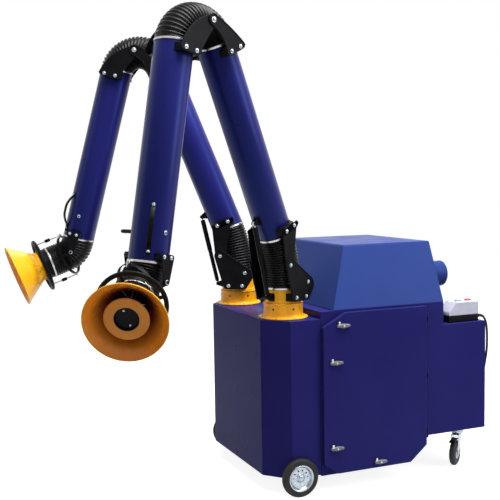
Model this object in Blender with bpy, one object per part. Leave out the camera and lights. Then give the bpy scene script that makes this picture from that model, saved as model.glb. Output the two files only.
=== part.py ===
"""Mobile fume extractor: a wheeled filter cabinet with a fan hood and two swinging suction arms.

Units are metres, +Z is up. X runs from the front column to the rear castors, Y from the door
side to the far side. The model stands on z = 0, centred under the machine without its mains lead.
"""
import math

import bmesh
import bpy
from mathutils import Matrix, Vector

GAP = 0.0003            # clearance where two pieces touch
OVERRUN = 0.02          # how far a cutter runs past what it cuts
SHEET = 0.002           # sheet steel
MERGE = 1e-6            # vertices closer than this are one
ROUND = 18              # sides of a large round piece
SMALL_ROUND = 12        # sides of a pin or a bolt

# Housing
BODY_WIDTH = 0.833
COLUMN_DEPTH = 0.245
COLUMN_BOTTOM = 0.078
COLUMN_TOP = 0.797
CHAMFER_ALONG = 0.096
CHAMFER_ACROSS = 0.114
CABINET_BOTTOM = 0.071
CABINET_TOP = 0.830
CABINET_REAR = 0.9115
BOX_FRONT = 0.806
BOX_REAR = 1.1586
BOX_BOTTOM = 0.188
BOX_TOP = 0.7207
REAR_CHAMFER = 0.081
HOOD_FOOT = 0.310
HOOD_SLOPE_FRONT = 0.126
HOOD_SLOPE_SIDE = 0.122
HOOD_HEIGHT = 0.287
OUTLET_RADIUS = 0.0625
OUTLET_LENGTH = 0.115
OUTLET_ACROSS = 0.190
OUTLET_RISE = 0.116     # outlet centre above the cabinet's top
COLUMN_WINDOW_MARGIN = 0.06
FAN_INLET_RADIUS = 0.130

# Door and its fittings
DOOR_THICKNESS = 0.022
DOOR_INSET = 0.004      # from the cabinet's front edge
DOOR_LEFT = COLUMN_DEPTH + DOOR_INSET
DOOR_RIGHT = 0.803
DOOR_BOTTOM = 0.078
DOOR_TOP = 0.822
DOOR_TOP_CUT = (0.116, 0.062)      # along X, down Z
DOOR_FOOT_CUT = (0.073, 0.050)
DOOR_REAR_CUT = (0.090, 0.074)
DOOR_LIP = 0.035        # how far the door laps over its opening
HINGE_RADIUS = 0.007
HINGE_LENGTH = 0.060
HINGE_HEIGHTS = (0.214, 0.483, 0.755)
# Latch places are from the door's lower left corner
LATCH_PLACES = {"door_latch_top": (0.102, 0.684), "door_latch_middle": (0.065, 0.516),
                "door_latch_low": (0.066, 0.120), "door_latch_foot": (0.295, 0.027)}
LATCH_END_SHARE = 1 / 3     # of its width, the round end of a wing
LATCH_SHAFT = 0.005
LATCH_LENGTH = 0.068
LATCH_WIDTH = 0.022
LATCH_HEIGHT = 0.012
LATCH_STUD = 0.012
LATCH_STUD_UP = 0.014

# Filter and fan
FILTER_MARGIN = 0.010
FILTER_LOW = 0.400
FILTER_HEIGHT = 0.150
PLEATS = 18
PLEAT_DEPTH_SHARE = 0.7
RAIL_WIDTH = 0.025
RAIL_THICKNESS = 0.003
MOTOR_RADIUS = 0.080
MOTOR_HEIGHT = 0.120
SHAFT_RADIUS = 0.011
IMPELLER_RADIUS = 0.170
IMPELLER_HEIGHT = 0.075
IMPELLER_BLADES = 8
BLADE_THICKNESS = 0.003
BLADE_REACH_SHARE = 1.05
BLADE_LEAN = 40.0
PLATE_THICKNESS = 0.003
SHROUD_INNER = 0.105

# Wheels
WHEEL_RADIUS = 0.0875
WHEEL_WIDTH = 0.032
WHEEL_ALONG = 0.127
WHEEL_GAP = 0.003
AXLE_RADIUS = 0.010
WHEEL_RIM_SHARE = 0.67
WHEEL_CROWN_SHARE = 0.28
WHEEL_HUB_SHARE = 0.40       # the raised hub, of the rim
WHEEL_HUB_FOOT_SHARE = 0.45
WHEEL_DISH_SHARE = 0.40      # depth of the dish by the hub, of the half width
WHEEL_DISH_RIM_SHARE = 0.50
CASTOR_RADIUS = 0.0625
CASTOR_WIDTH = 0.030
CASTOR_REAR = 0.1136     # from the swivel's axis to the box's rear face
CASTOR_INSET = 0.075
CASTOR_TRAIL = 0.034
CASTOR_TURN = {"near": 38.0, "far": 20.0}
FORK_SHEET = 0.003
FORK_TOP_RADIUS = 0.034
FORK_CAP_SHARE = 0.8
FORK_FRONT_SHARE = 0.6       # places on the fork, of its top's radius
FORK_BLADE_REAR_SHARE = 0.7
FORK_BLADE_FRONT_SHARE = 0.5
AXLE_LOBE_SHARE = 1.6        # the fork's round foot, of the stem
PEDAL_SHARE = 0.9            # its reach past the wheel's middle, of the wheel
CASTOR_CROWN_SHARE = 0.25
CASTOR_RIM_SHARE = 0.70
STEM_RADIUS = 0.008

# Switch and mains lead
SWITCH_FRONT = 0.955
SWITCH_REAR = 1.130
SWITCH_NEAR = 0.018
SWITCH_WIDTH = 0.085
SWITCH_BASE_HEIGHT = 0.033
SWITCH_HEIGHT = 0.098
SWITCH_SLOPE = 0.022
BUTTON_RADIUS = 0.016
BUTTON_HEIGHT = 0.007
BUTTON_TRAVEL = 0.003
BUTTON_PLACES = {"start_button": 0.40, "stop_button": 0.78}
GLAND_RADIUS = 0.011
GLAND_LENGTH = 0.022
GLAND_TIP_SHARE = 0.7
GLAND_HEIGHT_SHARE = 0.55    # of the switch's base
STEM_SHARE = 0.7             # a button's stem, of its cap
CAP_EDGE_SHARE = 0.8
LEAD_RADIUS = 0.0055
FLOOR_SHARE = 1.05           # height of a round thing on the floor, of its radius
PLUG_RADIUS = 0.026
PLUG_LENGTH = 0.120
PLUG_PRONG = 0.003
PLUG_NECK_SHARE = 1.6        # the plug's cable end, of the lead
PLUG_GRIP_SHARES = ((0.7, 0.25), (0.85, 0.6))    # radius and place of the grip's two ends
PLUG_SKIRT_SHARES = (0.62, 0.8, 0.7)             # the skirt's start, its mouth's radius, its floor
PLUG_PRONG_SHARES = (0.65, 0.97)
PLUG_PRONGS = 5
PLUG_OFF = 0.022        # from the coil's middle to the plug's cable end
COIL_INNER = 0.044
COIL_PITCH = 0.0116
COIL_TURNS = 4
COIL_ALONG = 1.290
COIL_ACROSS = 0.640
COIL_STEPS = 16
CORD_STEPS = 3
CORD_PLACES = ((1.175, 0.0600, 0.7375), (1.192, 0.057, 0.727), (1.204, 0.052, 0.690), (1.206, 0.048, 0.620),
               (1.204, 0.052, 0.540), (1.196, 0.075, 0.420), (1.192, 0.130, 0.290), (1.194, 0.220, 0.165),
               (1.197, 0.330, 0.095), (1.203, 0.440, 0.045), (1.220, 0.510, 0.017), (1.250, 0.542, 0.0065))

# Arms: the shapes are the same on both, the poses are those of the photograph
FLANGE_BEHIND = 0.115    # from the flanges' middles back to the column's rear
FLANGE_ALONG = COLUMN_DEPTH - FLANGE_BEHIND
FLANGE_INSET = 0.147
FLANGE_RADIUS = 0.114
FLANGE_HEIGHT = 0.070
FLANGE_LIP_SHARE = 0.12      # heights of the flange's lip and curve, of its own
FLANGE_WAIST_SHARE = 0.45
FLANGE_NECK_SHARE = 0.75
FLANGE_SWELL_SHARE = 1.12    # its radius at the waist, of the drum
DRUM_RADIUS = 0.088
COLLAR_TOP = 0.132
TUBE_RADIUS = 0.080
BORE_RADIUS = 0.0765
LOWER_LENGTH = 0.880
UPPER_LENGTH = {"near": 0.862, "far": 0.880}
SHOULDER_RISE = 0.2505
PIVOT_OFFSET = 0.0745   # from a tube's axis to its shoulder or elbow pivot
ELBOW_OFFSET = 0.0963
TUBE_GAP = 0.119        # from a pivot to the tube's end along the tube
HEADING = {"near": 205.35, "far": 149.2}
LEAN = {"near": 24.6, "far": 21.9}
DROP = {"near": 11.0, "far": 15.0}
TILT = {"near": 55.0, "far": 52.0}
SWING = {"near": 36.0, "far": 27.0}
BAND_THICKNESS = 0.004
PLATE_INNER = 0.1005    # inner face of the inner side plates, from the arm's middle
PLATE_SHEET = 0.004
PLATE_OUTER = 0.105     # inner face of the outer side plates
BASE_PLATE_LOBE = 0.030  # the base plates: round the pivot, round the back and round the feet
BASE_PLATE_BACK = 0.045
BASE_PLATE_FOOT = 0.016
BASE_PLATE_HALF = 0.045
BASE_PLATE_RISE = 0.150
PLATE_LOBE = 0.026       # the tubes' plates
PLATE_FOOT = 0.013
PLATE_HALF = 0.046
HOOD_PLATE_LOBE = 0.014  # the hood's plates
HOOD_PLATE_FOOT = 0.012
HOOD_PLATE_HALF = 0.022
PIN_RADIUS = 0.006
PIN_START = 0.099
PIN_END = 0.117
BOLT_HEAD = 0.007
SPACER_LENGTH = 0.050
SPACER_INSET = 0.004
BASE_BAND_LOW = 0.082
BASE_BAND_HIGH = 0.118
TUBE_BAND_LOW = 0.127   # from a pivot, along the tube
TUBE_BAND_HIGH = 0.165
HOOD_BAND_LOW = 0.004   # from the open end, along the tube
HOOD_BAND_HIGH = 0.034
SHOULDER_BEND = 0.090   # reach of each hose's bends
ELBOW_BEND = 0.122
HOOD_BEND = 0.040
HOSE_ROOT = 0.0785
HOSE_CREST = 0.0835
HOSE_BORE = 0.0735
HOSE_SIDES = 10
HOSE_STEPS = {"shoulder": 16, "elbow": 22, "hood": 16}
STRUT_FOOT_OUT = 0.026  # strut pivots, off the collar's and the tube's surface
STRUT_FOOT_RISE = 0.100
STRUT_HEAD_OUT = 0.024
STRUT_HEAD_UP = 0.220
STRUT_RADIUS = 0.010
CYLINDER_SHARE = 0.60
ROD_SHARE = 0.33
ROD_RADIUS = 0.004
EYE_RADIUS = 0.009
EYE_WIDTH = 0.012
BARREL_START_SHARE = 1.6     # where the barrel is full, of the eye's radius
EAR_SHEET = 0.004
STRUT_PIN = 0.004
HEAD_CLEARANCE = 0.004  # play of the rod's eye, along it and across it
HEAD_SIDE = 0.0012
DAMPER_UP = 0.113       # damper above the upper tube's open end
DAMPER_DISC = 0.074
DAMPER_AXLE = 0.0045
DAMPER_STICK = 0.075
GIMBAL_DROP = 0.075     # tilt pivots below the upper tube's open end
GIMBAL_BACK = 0.010     # and behind its axis
GIMBAL_REACH = 0.056    # from the tilt pivots to the swing lugs, along the hood
GIMBAL_HALF_WIDTH = 0.1012
GIMBAL_HALF_LENGTH = 0.1025
GIMBAL_SHEET = 0.0035
GIMBAL_DEPTH = 0.016
GIMBAL_FOOT_SHARE = 0.4      # round foot of its arms, of the hoop's depth
LUG_RADIUS = 0.005
LUG_END = 0.119
STAY_PLACE = 0.111
HUB_TOP = 0.108         # places along the hood, from the swing lugs
HUB_BOTTOM = 0.150
HUB_RADIUS = 0.086
RING_RADIUS = 0.130
RING_ROD = 0.009
RING_DROP = 0.143
RING_SIDES = 5
SPOKES = 4
STAY_RADIUS = 0.004
STAY_EYE_SHARE = 0.8         # half the eye's width, of the rod
SPOKE_SHARE = 1.5            # half the spoke's width, of the stay rod
MOUTH_DROP = 0.287
MOUTH_RADIUS = 0.159
NECK_RADIUS = 0.070
HOOD_SHEET = 0.003
BAFFLE_RADIUS = 0.085
BAFFLE_DROP = 0.258
BAFFLE_STRUTS = 3
BOW_ANGLE = 45.0
BOW_LOW = 0.052         # along the tube from its open end
BOW_HIGH = 0.205
BOW_SLANT = 0.033
BOW_STAND = 0.030
BOW_WIDTH = 0.012
BOW_SHEET = 0.005

MATERIALS = {
    "body_blue": ((0.018, 0.020, 0.125), 0.45, 0.0),
    "tube_blue": ((0.012, 0.018, 0.160), 0.25, 0.0),
    "signal_orange": ((0.800, 0.300, 0.010), 0.35, 0.0),
    "black_steel": ((0.012, 0.012, 0.013), 0.40, 0.2),
    "black_rubber": ((0.010, 0.010, 0.011), 0.65, 0.0),
    "bright_zinc": ((0.600, 0.610, 0.630), 0.30, 1.0),
    "grey_plastic": ((0.450, 0.460, 0.500), 0.45, 0.0),
    "white_cover": ((0.600, 0.610, 0.680), 0.40, 0.0),
    "red_plastic": ((0.600, 0.020, 0.020), 0.35, 0.0),
    "green_plastic": ((0.350, 0.600, 0.350), 0.35, 0.0),
    "filter_paper": ((0.750, 0.740, 0.680), 0.90, 0.0),
}


def clear_scene():
    for old in list(bpy.data.objects):
        bpy.data.objects.remove(old, do_unlink=True)


def finish(name):
    """The material of that name, made once."""
    known = bpy.data.materials.get(name)
    if known:
        return known
    colour, roughness, metallic = MATERIALS[name]
    made = bpy.data.materials.new(name)
    made.use_nodes = True
    shader = made.node_tree.nodes["Principled BSDF"]
    shader.inputs["Base Color"].default_value = (*colour, 1.0)
    shader.inputs["Roughness"].default_value = roughness
    shader.inputs["Metallic"].default_value = metallic
    return made


def frame(name, parent, place=(0, 0, 0), turn=0.0, axis="Z"):
    """An empty that carries pieces: moved to place and turned about one axis, in degrees."""
    empty = bpy.data.objects.new(name, None)
    bpy.context.collection.objects.link(empty)
    empty.parent = parent
    empty.location = place
    empty.rotation_euler["XYZ".index(axis)] = math.radians(turn)
    return empty


def piece(name, shape, material, parent):
    """Turn a bmesh into a named object on its frame."""
    bmesh.ops.recalc_face_normals(shape, faces=shape.faces)
    mesh = bpy.data.meshes.new(name)
    shape.to_mesh(mesh)
    shape.free()
    mesh.materials.append(finish(material))
    mesh.shade_smooth()
    mesh.set_sharp_from_angle(angle=math.radians(35))
    made = bpy.data.objects.new(name, mesh)
    bpy.context.collection.objects.link(made)
    made.parent = parent
    return made


def work(target, shape, operation):
    """Join a shape to a piece, or cut it from it, with a hidden tool on the same frame."""
    tool = piece(target.name + "_tool", shape, target.data.materials[0].name, target.parent)
    tool.hide_render = True
    tool.display_type = "WIRE"
    step = target.modifiers.new(operation.lower(), "BOOLEAN")
    step.operation = operation
    step.solver = "EXACT"
    step.object = tool


def join(target, *shapes):
    for shape in shapes:
        work(target, shape, "UNION")


def cut(target, *shapes):
    for shape in shapes:
        work(target, shape, "DIFFERENCE")


def skin(shape, rings, closed):
    """Walls between rings of vertices of equal count, round each ring and from ring to ring."""
    count = len(rings[0])
    for ring, after in zip(rings, rings[1:] + ([rings[0]] if closed else [])):
        for i in range(count):
            j = (i + 1) % count
            shape.faces.new((ring[i], ring[j], after[j], after[i]))


def turned(outline, sides=ROUND, centre=(0, 0, 0), axis="Z"):
    """Spin a closed outline of (radius, height) points about an axis through centre."""
    shape = bmesh.new()
    rings = []
    for radius, height in outline:
        ring = []
        for i in range(sides):
            angle = 2 * math.pi * i / sides
            ring.append(shape.verts.new((radius * math.cos(angle), radius * math.sin(angle), height)))
        rings.append(ring)
    skin(shape, rings, True)
    bmesh.ops.remove_doubles(shape, verts=shape.verts, dist=MERGE)
    spin = {"X": Matrix.Rotation(math.pi / 2, 4, "Y"), "Y": Matrix.Rotation(-math.pi / 2, 4, "X"),
            "Z": Matrix.Identity(4)}[axis]
    bmesh.ops.transform(shape, matrix=Matrix.Translation(centre) @ spin, verts=shape.verts)
    return shape


def ring_outline(inner, outer, low, high):
    return [(inner, low), (outer, low), (outer, high), (inner, high)]


def rod(radius, low, high, centre=(0, 0, 0), axis="Z", sides=SMALL_ROUND):
    """A plain round bar from low to high along an axis."""
    return turned([(0, low), (radius, low), (radius, high), (0, high)], sides, centre, axis)


def prism(outline, low, high, across="Y"):
    """Push a flat outline along one axis. Its points are (x, z), (x, y) or (y, z)."""
    order = {"Y": lambda a, b, c: (a, c, b), "Z": lambda a, b, c: (a, b, c),
             "X": lambda a, b, c: (c, a, b)}[across]
    shape = bmesh.new()
    lower = [shape.verts.new(order(a, b, low)) for a, b in outline]
    upper = [shape.verts.new(order(a, b, high)) for a, b in outline]
    skin(shape, [lower, upper], False)
    shape.faces.new(lower)
    shape.faces.new(upper)
    return shape


def box(low, high):
    """A block between two corners."""
    (a, b, c), (d, e, f) = low, high
    return prism([(a, b), (d, b), (d, e), (a, e)], c, f, "Z")


def hull(discs, steps=20):
    """The outline round discs (x, z, radius), like a band stretched round pegs."""
    points = []
    for x, z, radius in discs:
        for i in range(steps):
            angle = 2 * math.pi * i / steps
            points.append((x + radius * math.cos(angle), z + radius * math.sin(angle)))
    points = sorted(set(points))
    sides = []
    for run in (points, points[::-1]):
        chain = []
        for point in run:
            while len(chain) > 1 and turn_of(chain[-2], chain[-1], point) <= 0:
                chain.pop()
            chain.append(point)
        sides += chain[:-1]
    return sides


def turn_of(a, b, c):
    return (b[0] - a[0]) * (c[1] - a[1]) - (b[1] - a[1]) * (c[0] - a[0])


def inset(outline, depth):
    """Move every edge of a counter-clockwise outline inwards by depth."""
    moved = []
    count = len(outline)
    for i in range(count):
        before, here, after = (Vector(outline[k % count]) for k in (i - 1, i, i + 1))
        first = (here - before).normalized()
        second = (after - here).normalized()
        inward = Vector((-first.y, first.x)) + Vector((-second.y, second.x))
        scale = depth / (1 + first.dot(second)) if first.dot(second) > -0.99 else 0
        moved.append(tuple(here + inward * scale))
    return moved


def plates(outline, near, thickness=PLATE_SHEET):
    """The same flat plate on each side of the arm's middle plane."""
    far = near + thickness
    return prism(outline, near, far), prism(outline, -far, -near)


def swept(points, radii, sides, bore=0.0, bore_step=1, ways=None):
    """A round tube through points, its radius given at each one; with a bore it is a pipe."""
    points = [Vector(p) for p in points]
    shape = bmesh.new()
    frames = []
    side = None
    for i, point in enumerate(points):
        ahead = points[min(i + 1, len(points) - 1)] - points[max(i - 1, 0)]
        if ways and i in (0, len(points) - 1):
            ahead = Vector(ways[0] if i == 0 else ways[1])
        ahead.normalize()
        if side is None:
            side = ahead.orthogonal().normalized()
        side = (side - ahead * side.dot(ahead)).normalized()
        frames.append((point, side.copy(), ahead.cross(side)))

    def ring(at, radius):
        point, across, up = frames[at]
        spots = []
        for k in range(sides):
            angle = 2 * math.pi * k / sides
            spots.append(shape.verts.new(point + radius * (math.cos(angle) * across + math.sin(angle) * up)))
        return spots

    outer = [ring(i, radii[i]) for i in range(len(points))]
    if bore:
        inner_at = list(range(0, len(points) - 1, bore_step)) + [len(points) - 1]
        inner = [ring(i, bore) for i in reversed(inner_at)]
        skin(shape, outer + inner, True)
    else:
        skin(shape, outer, False)
        shape.faces.new(outer[0])
        shape.faces.new(outer[-1])
    return shape


def column_outline():
    width, across, along = BODY_WIDTH, CHAMFER_ACROSS, CHAMFER_ALONG
    rear = COLUMN_DEPTH - GAP
    return [(0, across), (along, 0), (rear, 0), (rear, width), (along, width), (0, width - across)]


def front_column(root):
    """The inlet duct: a chamfered sheet box, open to the cabinet and under the two arms."""
    column = piece("front_column", prism(column_outline(), COLUMN_BOTTOM, COLUMN_TOP, "Z"),
                   "body_blue", root)
    inner = inset(column_outline(), SHEET)
    rear = [(x + OVERRUN if x > CHAMFER_ALONG + SHEET else x, y) for x, y in inner]
    cut(column, prism(rear, COLUMN_BOTTOM + SHEET, COLUMN_TOP - SHEET, "Z"))
    for across in arm_places().values():
        cut(column, rod(BORE_RADIUS, COLUMN_TOP - OVERRUN, COLUMN_TOP + OVERRUN,
                        (FLANGE_ALONG, across, 0), sides=ROUND))
    reach = WHEEL_GAP + WHEEL_WIDTH
    for low, high in ((-reach, SHEET / 2), (BODY_WIDTH - SHEET / 2, BODY_WIDTH + reach)):
        join(column, rod(AXLE_RADIUS - GAP, low, high, (WHEEL_ALONG, 0, WHEEL_RADIUS), "Y"))


def arm_places():
    return {"near": FLANGE_INSET, "far": BODY_WIDTH - FLANGE_INSET}


def cabinet_outline():
    """Side view of the cabinet and its rear box, counter-clockwise from the front foot."""
    return [(COLUMN_DEPTH, CABINET_BOTTOM), (BOX_FRONT - REAR_CHAMFER, CABINET_BOTTOM),
            (BOX_FRONT, CABINET_BOTTOM + REAR_CHAMFER), (BOX_FRONT, BOX_BOTTOM),
            (BOX_REAR, BOX_BOTTOM), (BOX_REAR, BOX_TOP), (CABINET_REAR, BOX_TOP),
            (CABINET_REAR, CABINET_TOP), (COLUMN_DEPTH, CABINET_TOP)]


def door_outline():
    (tx, tz), (fx, fz), (rx, rz) = DOOR_TOP_CUT, DOOR_FOOT_CUT, DOOR_REAR_CUT
    return [(DOOR_LEFT, DOOR_BOTTOM + fz), (DOOR_LEFT + fx, DOOR_BOTTOM), (DOOR_RIGHT - rx, DOOR_BOTTOM),
            (DOOR_RIGHT, DOOR_BOTTOM + rz), (DOOR_RIGHT, DOOR_TOP), (DOOR_LEFT + tx, DOOR_TOP),
            (DOOR_LEFT, DOOR_TOP - tz)]


def fan_place():
    """Middle of the fan hood's flat top, over the filter chamber."""
    return ((HOOD_FOOT + HOOD_SLOPE_FRONT + CABINET_REAR) / 2, BODY_WIDTH / 2)


def castor_places():
    along = BOX_REAR - CASTOR_REAR
    return {"near": (along, CASTOR_INSET), "far": (along, BODY_WIDTH - CASTOR_INSET)}


def cabinet_shell(root):
    """One folded sheet housing: door opening, duct window, fan inlet, rails and castor holes."""
    shell = piece("cabinet_shell", prism(cabinet_outline(), 0, BODY_WIDTH, "Y"), "body_blue", root)
    cut(shell, prism(inset(cabinet_outline(), SHEET), SHEET, BODY_WIDTH - SHEET, "Y"))
    cut(shell, prism(inset(door_outline(), DOOR_LIP), -OVERRUN, OVERRUN, "Y"))
    margin = COLUMN_WINDOW_MARGIN
    cut(shell, box((COLUMN_DEPTH - OVERRUN, margin, COLUMN_BOTTOM + margin),
                   (COLUMN_DEPTH + OVERRUN, BODY_WIDTH - margin, FILTER_LOW - margin)))
    fan_along, fan_across = fan_place()
    cut(shell, rod(FAN_INLET_RADIUS, CABINET_TOP - OVERRUN, CABINET_TOP + OVERRUN,
                   (fan_along, fan_across, 0), sides=ROUND))
    low = FILTER_LOW - RAIL_THICKNESS
    for start, end in ((COLUMN_DEPTH + SHEET / 2, COLUMN_DEPTH + RAIL_WIDTH),
                       (BOX_FRONT - RAIL_WIDTH, BOX_FRONT + RAIL_THICKNESS)):
        join(shell, box((start, SHEET / 2, low), (end, BODY_WIDTH - SHEET / 2, FILTER_LOW)))
    for along, across in castor_places().values():
        cut(shell, rod(STEM_RADIUS + GAP * 4, BOX_BOTTOM - OVERRUN, BOX_BOTTOM + OVERRUN, (along, across, 0)))


def cabinet_door(hinge):
    """A pan-shaped door with its hinge barrels, in the frame of its hinge line."""
    outline = [(x - hinge_place()[0], z) for x, z in door_outline()]
    back = -hinge_place()[1] - GAP
    front = back - DOOR_THICKNESS
    door = piece("cabinet_door", prism(outline, front, back, "Y"), "body_blue", hinge)
    cut(door, prism(inset(outline, DOOR_LIP / 2), front + SHEET, back + OVERRUN, "Y"))
    for height in HINGE_HEIGHTS:
        low, high = height - HINGE_LENGTH / 2, height + HINGE_LENGTH / 2
        join(door, rod(HINGE_RADIUS, low, high))
        join(door, box((DOOR_RIGHT - hinge_place()[0] - SHEET, -SHEET, low), (0, SHEET, high)))
    for along, height in latch_places().values():
        cut(door, rod(LATCH_SHAFT + GAP, front - OVERRUN, back + OVERRUN, (along, 0, height), "Y"))


def hinge_place():
    return DOOR_RIGHT + HINGE_RADIUS, -GAP - DOOR_THICKNESS / 2


def latch_places():
    """Each latch's shaft, in the frame of the hinge line."""
    return {name: (DOOR_LEFT + along - hinge_place()[0], DOOR_BOTTOM + height)
            for name, (along, height) in LATCH_PLACES.items()}


def door_latches(hinge):
    """Wing levers on shafts through the door, each in the frame of its own shaft."""
    face = -GAP - DOOR_THICKNESS - hinge_place()[1]
    round_end = LATCH_WIDTH * LATCH_END_SHARE
    reach = LATCH_LENGTH / 2 - round_end
    for name, (along, height) in latch_places().items():
        shaft = frame(name + "_axis", hinge, (along, face, height))
        wing = hull([(-reach, 0, round_end), (0, 0, LATCH_WIDTH / 2), (reach, 0, round_end)], 8)
        latch = piece(name, prism(wing, -LATCH_HEIGHT, -GAP), "grey_plastic", shaft)
        stud = (LATCH_WIDTH - LATCH_LENGTH) / 2
        half = LATCH_STUD / 2
        join(latch, rod(LATCH_SHAFT, -LATCH_HEIGHT / 2, DOOR_THICKNESS / 2, axis="Y"),
             box((stud - half, -LATCH_HEIGHT, 0), (stud + half, -GAP * 2, LATCH_STUD_UP + half)))


def fan_hood(root):
    """The sloped sheet hood over the fan, open below, with its outlet pipe at the rear."""
    low = [(HOOD_FOOT, 0), (CABINET_REAR, 0), (CABINET_REAR, BODY_WIDTH), (HOOD_FOOT, BODY_WIDTH)]
    front, side = HOOD_FOOT + HOOD_SLOPE_FRONT, HOOD_SLOPE_SIDE
    high = [(front, side), (CABINET_REAR, side), (CABINET_REAR, BODY_WIDTH - side),
            (front, BODY_WIDTH - side)]
    base = CABINET_TOP + GAP
    hood = piece("fan_hood", loft(low, base, high, CABINET_TOP + HOOD_HEIGHT), "body_blue", root)
    pipe_low, pipe_high = CABINET_REAR - SHEET / 2, CABINET_REAR + OUTLET_LENGTH
    centre = (0, OUTLET_ACROSS, CABINET_TOP + OUTLET_RISE)
    join(hood, rod(OUTLET_RADIUS, pipe_low, pipe_high, centre, "X", ROUND))
    cut(hood, loft(inset(low, SHEET), base - SHEET / 2, inset(high, SHEET),
                   CABINET_TOP + HOOD_HEIGHT - SHEET))
    cut(hood, rod(OUTLET_RADIUS - SHEET, pipe_low - OVERRUN, pipe_high + OVERRUN, centre, "X", ROUND))


def loft(low, base, high, top):
    """A solid between two flat outlines of equal count."""
    shape = bmesh.new()
    rings = [[shape.verts.new((x, y, base)) for x, y in low],
             [shape.verts.new((x, y, top)) for x, y in high]]
    skin(shape, rings, False)
    for ring in rings:
        shape.faces.new(ring)
    return shape


def fan(root):
    """Motor under the hood's top and the blown wheel on its shaft, over the cabinet's inlet."""
    along, across = fan_place()
    top = CABINET_TOP + HOOD_HEIGHT - SHEET - GAP
    foot = top - MOTOR_HEIGHT
    motor = piece("fan_motor", rod(MOTOR_RADIUS, foot, top, (along, across, 0), sides=ROUND),
                  "black_steel", root)
    cut(motor, rod(SHAFT_RADIUS + GAP, foot - OVERRUN, foot + MOTOR_HEIGHT / 2, (along, across, 0)))
    low = CABINET_TOP + OVERRUN
    high = low + IMPELLER_HEIGHT
    axis = frame("impeller_axis", root, (along, across, 0))
    wheel = piece("fan_impeller", rod(IMPELLER_RADIUS, high - PLATE_THICKNESS, high, sides=ROUND),
                  "bright_zinc", axis)
    for i in range(IMPELLER_BLADES):
        join(wheel, blade(360 * i / IMPELLER_BLADES, low + PLATE_THICKNESS / 2, high - PLATE_THICKNESS / 2))
    join(wheel, turned(ring_outline(SHROUD_INNER - PLATE_THICKNESS, IMPELLER_RADIUS, low,
                                    low + PLATE_THICKNESS), ROUND),
         rod(SHAFT_RADIUS, high - PLATE_THICKNESS / 2, foot + MOTOR_HEIGHT / 3))


def blade(turn, low, high):
    """A flat backward-leaning blade between the impeller's two plates."""
    half = BLADE_THICKNESS / 2
    reach = (IMPELLER_RADIUS - SHROUD_INNER) * BLADE_REACH_SHARE
    shape = box((0, -half, low), (reach, half, high))
    place = (Matrix.Rotation(math.radians(turn), 4, "Z") @ Matrix.Translation((SHROUD_INNER, 0, 0))
             @ Matrix.Rotation(math.radians(BLADE_LEAN), 4, "Z"))
    bmesh.ops.transform(shape, matrix=place, verts=shape.verts)
    return shape


def filter_cartridge(root):
    """A cassette that slides in on the rails: pleats folded back and forth between two sides."""
    start, end = COLUMN_DEPTH + SHEET + FILTER_MARGIN, BOX_FRONT - FILTER_MARGIN
    low = FILTER_LOW + GAP
    high = low + FILTER_HEIGHT
    step = (end - start) / PLEATS
    rise = FILTER_HEIGHT * PLEAT_DEPTH_SHARE
    under, over = [], []
    for i in range(PLEATS):
        under += [(start + step * i, low), (start + step * (i + 0.5), low + rise)]
        over += [(start + step * i, high - rise), (start + step * (i + 0.5), high)]
    outline = under + [(end, low), (end, high - rise)] + over[::-1]
    inner = FILTER_MARGIN
    cassette = piece("filter_cartridge", prism(outline, DOOR_LIP + inner, BODY_WIDTH - DOOR_LIP, "Y"),
                     "filter_paper", root)
    for across in (DOOR_LIP, BODY_WIDTH - DOOR_LIP - inner):
        join(cassette, box((start, across, low), (end, across + 2 * inner, high)))


def front_wheels(root):
    """Tyre on a dished rim, one on each side of the column."""
    half = WHEEL_WIDTH / 2
    rim = WHEEL_RADIUS * WHEEL_RIM_SHARE
    crown = WHEEL_WIDTH * WHEEL_CROWN_SHARE
    outline = [(AXLE_RADIUS, -half), (rim * WHEEL_HUB_SHARE, -half),
               (rim * WHEEL_HUB_FOOT_SHARE, -half * WHEEL_DISH_SHARE), (rim, -half * WHEEL_DISH_RIM_SHARE),
               (rim, -half), (WHEEL_RADIUS - crown, -half), (WHEEL_RADIUS, -half + crown),
               (WHEEL_RADIUS, half - crown), (WHEEL_RADIUS - crown, half), (AXLE_RADIUS, half)]
    for side, across in (("near", -WHEEL_GAP - half), ("far", BODY_WIDTH + WHEEL_GAP + half)):
        axis = frame("front_wheel_axis_" + side, root, (WHEEL_ALONG, across, WHEEL_RADIUS))
        way = 1 if side == "near" else -1
        profile = [(radius, height * way) for radius, height in outline]
        piece("front_wheel_" + side, turned(profile, ROUND + 4, axis="Y"), "black_rubber", axis)


def castors(root):
    """Two swivelling braked castors under the rear box."""
    half = CASTOR_WIDTH / 2
    crown = CASTOR_WIDTH * CASTOR_CROWN_SHARE
    rim = CASTOR_RADIUS * CASTOR_RIM_SHARE
    outline = [(STEM_RADIUS, -half), (rim, -half), (CASTOR_RADIUS - crown, -half),
               (CASTOR_RADIUS, -half + crown), (CASTOR_RADIUS, half - crown),
               (CASTOR_RADIUS - crown, half), (rim, half), (STEM_RADIUS, half)]
    for side, (along, across) in castor_places().items():
        swivel = frame("castor_swivel_" + side, root, (along, across, 0), CASTOR_TURN[side])
        castor_fork(side, swivel)
        axle = frame("castor_axle_" + side, swivel, (-CASTOR_TRAIL, 0, CASTOR_RADIUS))
        piece("castor_wheel_" + side, turned(outline, axis="Y"), "black_rubber", axle)


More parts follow.
